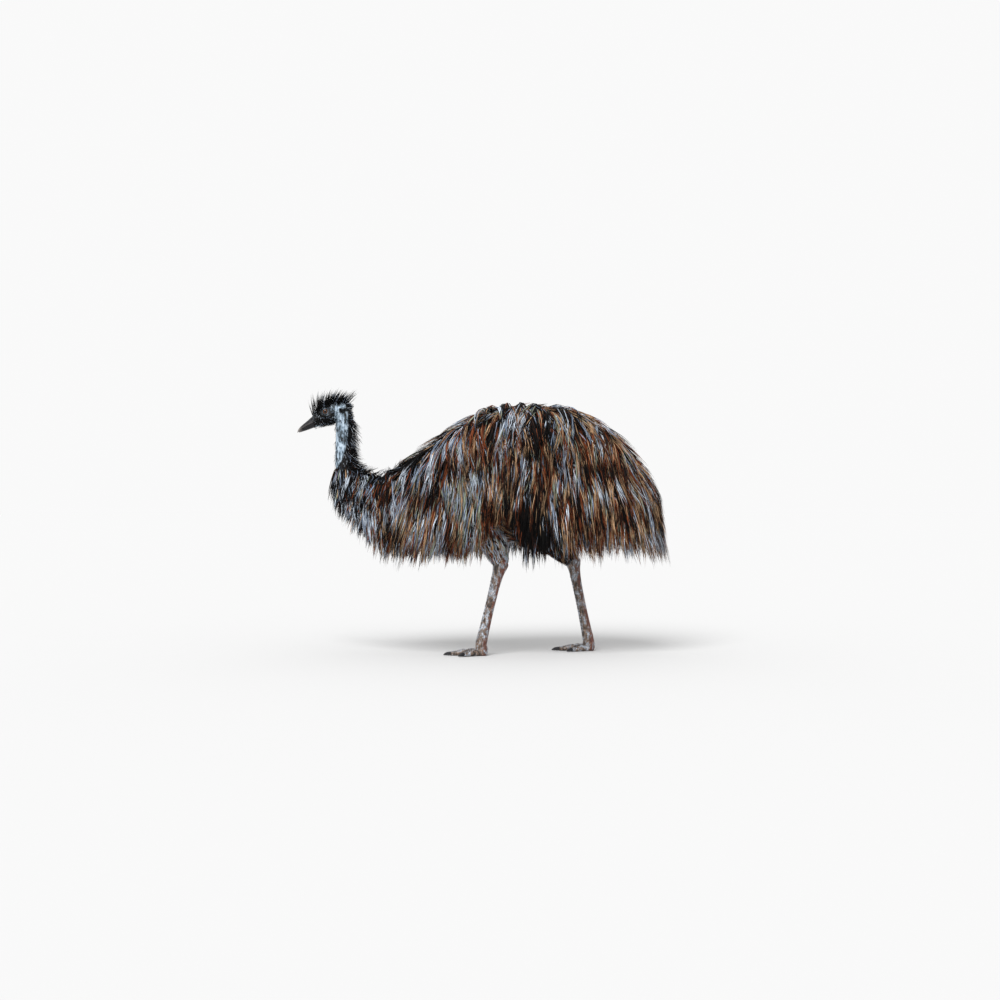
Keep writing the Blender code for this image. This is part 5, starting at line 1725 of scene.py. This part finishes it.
def bareness(points):
    """1 on the pale skin behind the eye and down the neck's front and sides, 0 where bristles grow."""
    x, y, z = points.T
    ahead, above = from_head(points)
    patch = np.hypot(
        (ahead - PALE_PATCH["ahead"]) / PALE_PATCH["long"],
        (above - PALE_PATCH["above"]) / PALE_PATCH["tall"],
    )
    on_head = (1 - smooth_step(0.65, 1.1, patch)) * smooth_step(0.012, 0.022, np.abs(y))
    behind = (x - NECK_AXIS_X) / np.hypot(x - NECK_AXIS_X, y)
    limit = np.interp(z, *zip(*NAPE_LIMIT))
    on_neck = 1 - smooth_step(limit - 0.14, limit + 0.14, behind)
    jaw = np.where(z > 0.945, smooth_step(-0.604, -0.592, x), 1.0)
    on_neck *= jaw * (1 - smooth_step(0.995, 1.015, z))
    ear = np.hypot(ahead - EAR_AT[0], (above - EAR_AT[2] + 0.003) / 1.3)
    return np.maximum(on_head, on_neck) * smooth_step(*DARK_EAR, ear)


# %% [markdown]
# The bristles point down the neck. Those of the nape are longer and stand off it further, and the
# few on the pale skin are as fine as hairs.


# %% Lay the bristles of the neck
def on_neck(points, normals):
    """The neck below the jaw, where bristles grow, and a few on the pale skin."""
    below = (points[:, 2] < 0.975) & (points[:, 2] > 0.745)
    return below & (chance.random(len(points)) < 1.0 - 0.95 * bareness(points))


def laid(tree, places, lengths, wish_at, turn=0.25):
    """Guides from many roots along one surface."""
    made = [
        follow(tree, Vector(place), length, chance.uniform(-turn, turn), wish_at, False)
        for place, length in zip(places, lengths)
    ]
    return np.array(made)


def small_feathers(name, guides, sizes, raised, per_root, look, mix):
    """A piece of small feathers, all raised alike, with pigments in fixed shares."""
    raised = np.full(len(sizes), raised)
    rings, tip, _ = strand_points(guides, sizes, raised, per_root, look)
    coat_piece(name, rings, tip, few_marks(len(tip), mix), feather_finish)


places, _ = scattered(head_surface, 2100, 0.0038, on_neck)
behind = places[:, 0] - NECK_AXIS_X
nape = smooth_step(0.1, 0.7, behind / np.hypot(behind, places[:, 1]))
sizes = (0.018 + 0.030 * nape) * chance.uniform(0.6, 1.3, len(places))
guides = laid(head_tree, places, sizes, lambda p: Vector((0.15, 0.0, -1.0)))
nape_look = dict(BRISTLE_LOOK, slope=(0.35, 0.95))
side_look = dict(
    BRISTLE_LOOK, slope=(0.10, 0.40), width=(0.0009, 0.0018), thick=0.0005, sway=0.0003, sink=0.0015
)
neck_mix = {"black": 0.86, "umber": 0.06, "slate": 0.04, "frost": 0.04}
for chosen, name, look in ((nape > 0.5, "nape", nape_look), (nape <= 0.5, "neck_sides", side_look)):
    small_feathers(f"bristles_{name}", guides[chosen], sizes[chosen], 0.0, 2, look, neck_mix)

# %% [markdown]
# Where the nape runs into the back the bristles are longest and stand up like a mane.


# %% Bristles at the foot of the neck
def on_mane(points, normals):
    """The upper side of the bend between neck and back."""
    x, z = points[:, 0], points[:, 2]
    return (normals[:, 2] > 0.25) & (x > -0.52) & (x < -0.235) & (z > 0.70)


places, _ = scattered(body_surface, 420, 0.0085, on_mane)
sizes = chance.uniform(0.035, 0.070, len(places))
guides = laid(coat_tree, places, sizes, lambda p: Vector((1.0, 0.0, -0.1)), 0.5)
mane_look = dict(BRISTLE_LOOK, slope=(0.45, 1.0), width=(0.0020, 0.0042), spread=0.004)
mane_mix = {"black": 0.90, "umber": 0.05, "slate": 0.05}
small_feathers("bristles_mane", guides, sizes, 0.012, 3, mane_look, mane_mix)

# %% [markdown]
# The face wears the smallest feathers: millimetre bristles that lie back from the bill over the
# forehead, cheeks and chin, and leave the eye, the ear and the pale patch behind the eye bare.

# %% Face bristles
FACE_LOOK = dict(
    BRISTLE_LOOK, slope=(0.30, 0.85), width=(0.0011, 0.0023), thick=0.0007, sway=0.0004, sink=0.002
)
LIDS_END = (0.0165, 0.0205)  # from the middle of the eye
BILL_ROOT = 0.060  # ahead of the head's middle


def round_the_eye(points):
    """1 on the lids, which are bare but dark."""
    ahead, above = from_head(points)
    return 1 - smooth_step(*LIDS_END, np.hypot(ahead - EYE_AT[0], above - EYE_AT[2]))


def on_face(points, normals):
    """The head up to the root of the bill, but for its bare places."""
    ahead, _ = from_head(points)
    bare = np.maximum(bareness(points), round_the_eye(points))
    return (points[:, 2] > 0.950) & (ahead < BILL_ROOT) & (chance.random(len(points)) > bare)


places, _ = scattered(head_surface, 4200, 0.0026, on_face)
ahead, above = from_head(places)
behind_bill = BILL_ROOT - ahead
sizes = 0.008 + 0.010 * smooth_step(0.0, 0.05, behind_bill)
sizes = sizes * chance.uniform(0.6, 1.3, len(places))
guides = laid(head_tree, places, sizes, lambda p: Vector((1.0, 0.0, 0.15)), 0.35)
rings, tip, guide = strand_points(guides, sizes, np.zeros(len(sizes)), 1, FACE_LOOK)
marks = few_marks(len(tip), {"black": 0.93, "slate": 0.04, "frost": 0.03})
over_bill = (behind_bill < 0.020) & (above > -0.010) & (chance.random(len(tip)) < 0.5)
frost = pigment_mark(PIGMENTS.index("frost"))
marks = (*(np.where(over_bill, frost, each) for each in marks[:2]), marks[2])
coat_piece("bristles_face", rings, tip, marks, feather_finish)

# %% [markdown]
# The crest: thin black feathers that stand from the forehead and crown and lean back, some short and
# some long, so that it ends in loose spikes.

# %% Crest
CREST_LOOK = dict(
    BRISTLE_LOOK, slope=(0.0, 0.02), width=(0.0016, 0.0034), thick=0.0010,
    spread=0.0030, sway=0.0018, gather=0.2,
)
CREST_FRONT = 0.058  # ahead of the head's middle
CREST_LONG = 0.156
CREST_TOP = 1.100  # height that the spikes reach for
CREST_SIZES = (0.022, 0.085)


def on_crown(points, normals):
    """The forehead and crown, where they face up."""
    ahead, above = from_head(points)
    in_length = (ahead < CREST_FRONT) & (ahead > CREST_FRONT - CREST_LONG)
    return in_length & (above > 0.002) & (normals @ HEAD_ABOVE > 0.35)


places, _ = scattered(head_surface, 720, 0.0037, on_crown)
back = np.clip((CREST_FRONT - from_head(places)[0]) / CREST_LONG, 0, 1)
sizes = (CREST_TOP - places[:, 2]).clip(*CREST_SIZES) * chance.uniform(0.55, 1.12, len(places))
sizes *= 1 - 0.25 * (np.abs(places[:, 1]) / 0.032).clip(0, 1) ** 2
guides = []
for place, share, size in zip(places, back, sizes):
    heading = UPWARDS + np.array((-0.28 + 1.10 * share + chance.uniform(-0.25, 0.25), 0.0, 0.0))
    heading = unit(heading + SIDEWAYS * (place[1] * 13 + chance.uniform(-0.22, 0.22)))
    bend = -HEAD_AHEAD * (0.10 + 0.20 * share) * size
    steps = np.linspace(0, 1, STEPS + 1)[:, None]
    line = place + heading * size * steps + bend * steps**2
    facing = np.repeat(unit(np.cross(np.cross(heading, HEAD_AHEAD), heading))[None], STEPS + 1, axis=0)
    guides.append(np.hstack((line, facing)))
crest_mix = {"black": 0.88, "umber": 0.06, "slate": 0.06}
small_feathers("crest", np.array(guides), sizes, 0.0, 3, CREST_LOOK, crest_mix)

# %% [markdown]
# Short feathers clothe the drumsticks down to the hock and lie close to the leg. Both legs are alike, so
# their colours are painted light and shade: a pale mix, as painted light, on the one that steps forward
# into the light, and a nearly black mix, as painted shade, on the one that stays behind.

# %% Feathers of the thighs
THIGH_LOOK = dict(
    TRUNK_LOOK, taper=(0.6, 1.0, 0.9, 0.55), slope=(0.05, 0.16), layer=0.004, clear=0.001, spread=0.005
)
thigh_tree = tree_of(thigh_surface)


def on_thigh(points, normals):
    """The drumsticks, from well up under the coat down to the hock."""
    along = np.zeros(len(points), bool)
    for leg in LEGS.values():
        (knee_x, knee_z), (hock_x, hock_z) = leg["knee"], leg["hock"]
        share = (knee_z - points[:, 2]) / (knee_z - hock_z)
        bone_x = knee_x + (hock_x - knee_x) * share
        near = np.hypot(points[:, 0] - bone_x, points[:, 1] - leg["y"]) < 0.09
        along |= near & (share > 0.20) & (share < 0.99)
    return along


places, _ = scattered(thigh_surface, 1300, 0.0072, on_thigh)
sizes = np.clip((places[:, 2] - 0.362) * 1.4, 0.018, 0.070)
sizes = sizes * chance.uniform(*LENGTH_VARIES, len(places))
guides = laid(thigh_tree, places, sizes, lambda p: Vector((0.35, 0.0, -1.0)))
# Painted light and shade: the near, left thigh gets a pale mix and the far, right thigh a nearly black
# one.
lit_and_shaded_mixes = {  # in the order of PIGMENTS; a pigment with no share takes no part
    "left": (0.04, 0.04, 0.12, 0.24, 0.10, 0.14, 0.32),
    "right": (0.66, 0.16, 0.06, 0.04, 0.00, 0.05, 0.03),
}
for word, shares in lit_and_shaded_mixes.items():
    here = places[:, 1] * LEGS[word]["y"] > 0
    mix = {name: share for name, share in zip(PIGMENTS, shares) if share}
    small_feathers(f"feathers_thigh_{word}", guides[here], sizes[here], 0.0, 5, THIGH_LOOK, mix)

# %% [markdown]
# The skin is told where it is bare, so that it is pale there and dark under the bristles, and where
# it is the back of a shank, which is rustier.

# %% Mark the skin
HALF_LIT_LIDS = 0.30
RUST_SHARE = 0.9
skin_points = np.array([v.co for v in skin.data.vertices]) - MOVE
lids = HALF_LIT_LIDS * round_the_eye(skin_points)
mark(skin.data, "bare", np.maximum(bareness(skin_points), lids))
rear = np.zeros(len(skin_points))
for leg in LEGS.values():
    (hock_x, hock_z), (toe_x, toe_z) = leg_ends(leg)
    share = np.clip((hock_z - skin_points[:, 2]) / (hock_z - toe_z), 0, 1)
    behind = skin_points[:, 0] - (hock_x + (toe_x - hock_x) * share)
    here = (skin_points[:, 1] * leg["y"] > 0) & (skin_points[:, 2] < 0.40)
    rear += here * smooth_step(0.000, 0.015, behind) * RUST_SHARE
mark(skin.data, "rear", rear)
print("points of bare pale skin:", int((bareness(skin_points) > 0.5).sum()))

# %% [markdown]
# Ground and light. The drawing stands on white paper, so here the bird stands on a plain pale ground
# in a bright room, with a wide soft key from the front and above. The ground is just dark enough to
# send back as much light as the room behind it, so that no horizon shows.

# %% Ground and light
ROOM_LIGHT = 0.95
KEY_LIGHT = 3.0
KEY_SOFTNESS = math.radians(35)
GROUND_HALF = 60
PAPER_IOR = 1.45
KEY_TURN = (math.radians(42), math.radians(-16), 0.0)
key_share = KEY_LIGHT * math.cos(KEY_TURN[0]) * math.cos(KEY_TURN[1]) / math.pi
world = bpy.data.worlds.new("soft_room")
world.use_nodes = True
background = world.node_tree.nodes["Background"]
background.inputs["Color"].default_value = (1.0, 1.0, 1.0, 1.0)
background.inputs["Strength"].default_value = ROOM_LIGHT
bpy.context.scene.world = world
key_data = bpy.data.lights.new("soft_key", "SUN")
key_data.energy = KEY_LIGHT
key_data.angle = KEY_SOFTNESS
key = bpy.data.objects.new("soft_key", key_data)
key.rotation_euler = KEY_TURN
bpy.context.scene.collection.objects.link(key)

corners = [(x * GROUND_HALF, y * GROUND_HALF, 0) for x, y in ((-1, -1), (1, -1), (1, 1), (-1, 1))]
ground = new_piece("ground", corners, [(0, 1, 2, 3)])
ground.location.z = -MOVE[2]
ground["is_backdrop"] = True
ground_finish, tree, shader = new_finish("pale_ground", 1.0, PAPER_IOR, Specular_IOR_Level=0.0)
shader.inputs["Base Color"].default_value = grey(ROOM_LIGHT / (ROOM_LIGHT + key_share))
ground.data.materials.append(ground_finish)
print("ground sends back:", round(ROOM_LIGHT / (ROOM_LIGHT + key_share), 3), "of the light")

# %% [markdown]
# The camera looks level at the bird's side. Its distance and lens are worked out from the size of
# the drawing's pixels at the bird, so that one metre fills as much of the picture as it does there.

# %% Camera
PICTURE = 1000  # pixels along each side
PIXEL = 0.00415  # metres at the bird
MIDDLE_PIXEL = 478  # the bird's own x = 0
GROUND_PIXEL = 653
CAMERA_AWAY = 6.4
SENSOR = 36.0  # millimetres
camera_data = bpy.data.cameras.new("camera")
camera_data.sensor_width = SENSOR
camera_data.lens = SENSOR * CAMERA_AWAY / (PICTURE * PIXEL)
camera = bpy.data.objects.new("camera", camera_data)
camera_x = (PICTURE / 2 - MIDDLE_PIXEL) * PIXEL + MOVE[0]
camera.location = (camera_x, -CAMERA_AWAY, (GROUND_PIXEL - PICTURE / 2) * PIXEL)
camera.rotation_euler = (math.radians(90), 0.0, 0.0)
bpy.context.scene.collection.objects.link(camera)
bpy.context.scene.camera = camera
bpy.context.scene.view_settings.view_transform = "Standard"
print("lens:", round(camera_data.lens, 1), "mm from", CAMERA_AWAY, "m")

# %% [markdown]
# Last, the size of the dressed bird is set beside the size of its solid model, and how far it stands
# proud of the model is printed.

# %% Sizes and finish
dressed_low, dressed_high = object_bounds()
sizes = {"cad": [list(model_low), list(model_high)], "visual": [list(dressed_low), list(dressed_high)]}
grown = [round(a - b, 3) for a, b in zip(model_low, dressed_low)]
grown += [round(b - a, 3) for a, b in zip(model_high, dressed_high)]
print("stands proud of the model by, metres:", grown)
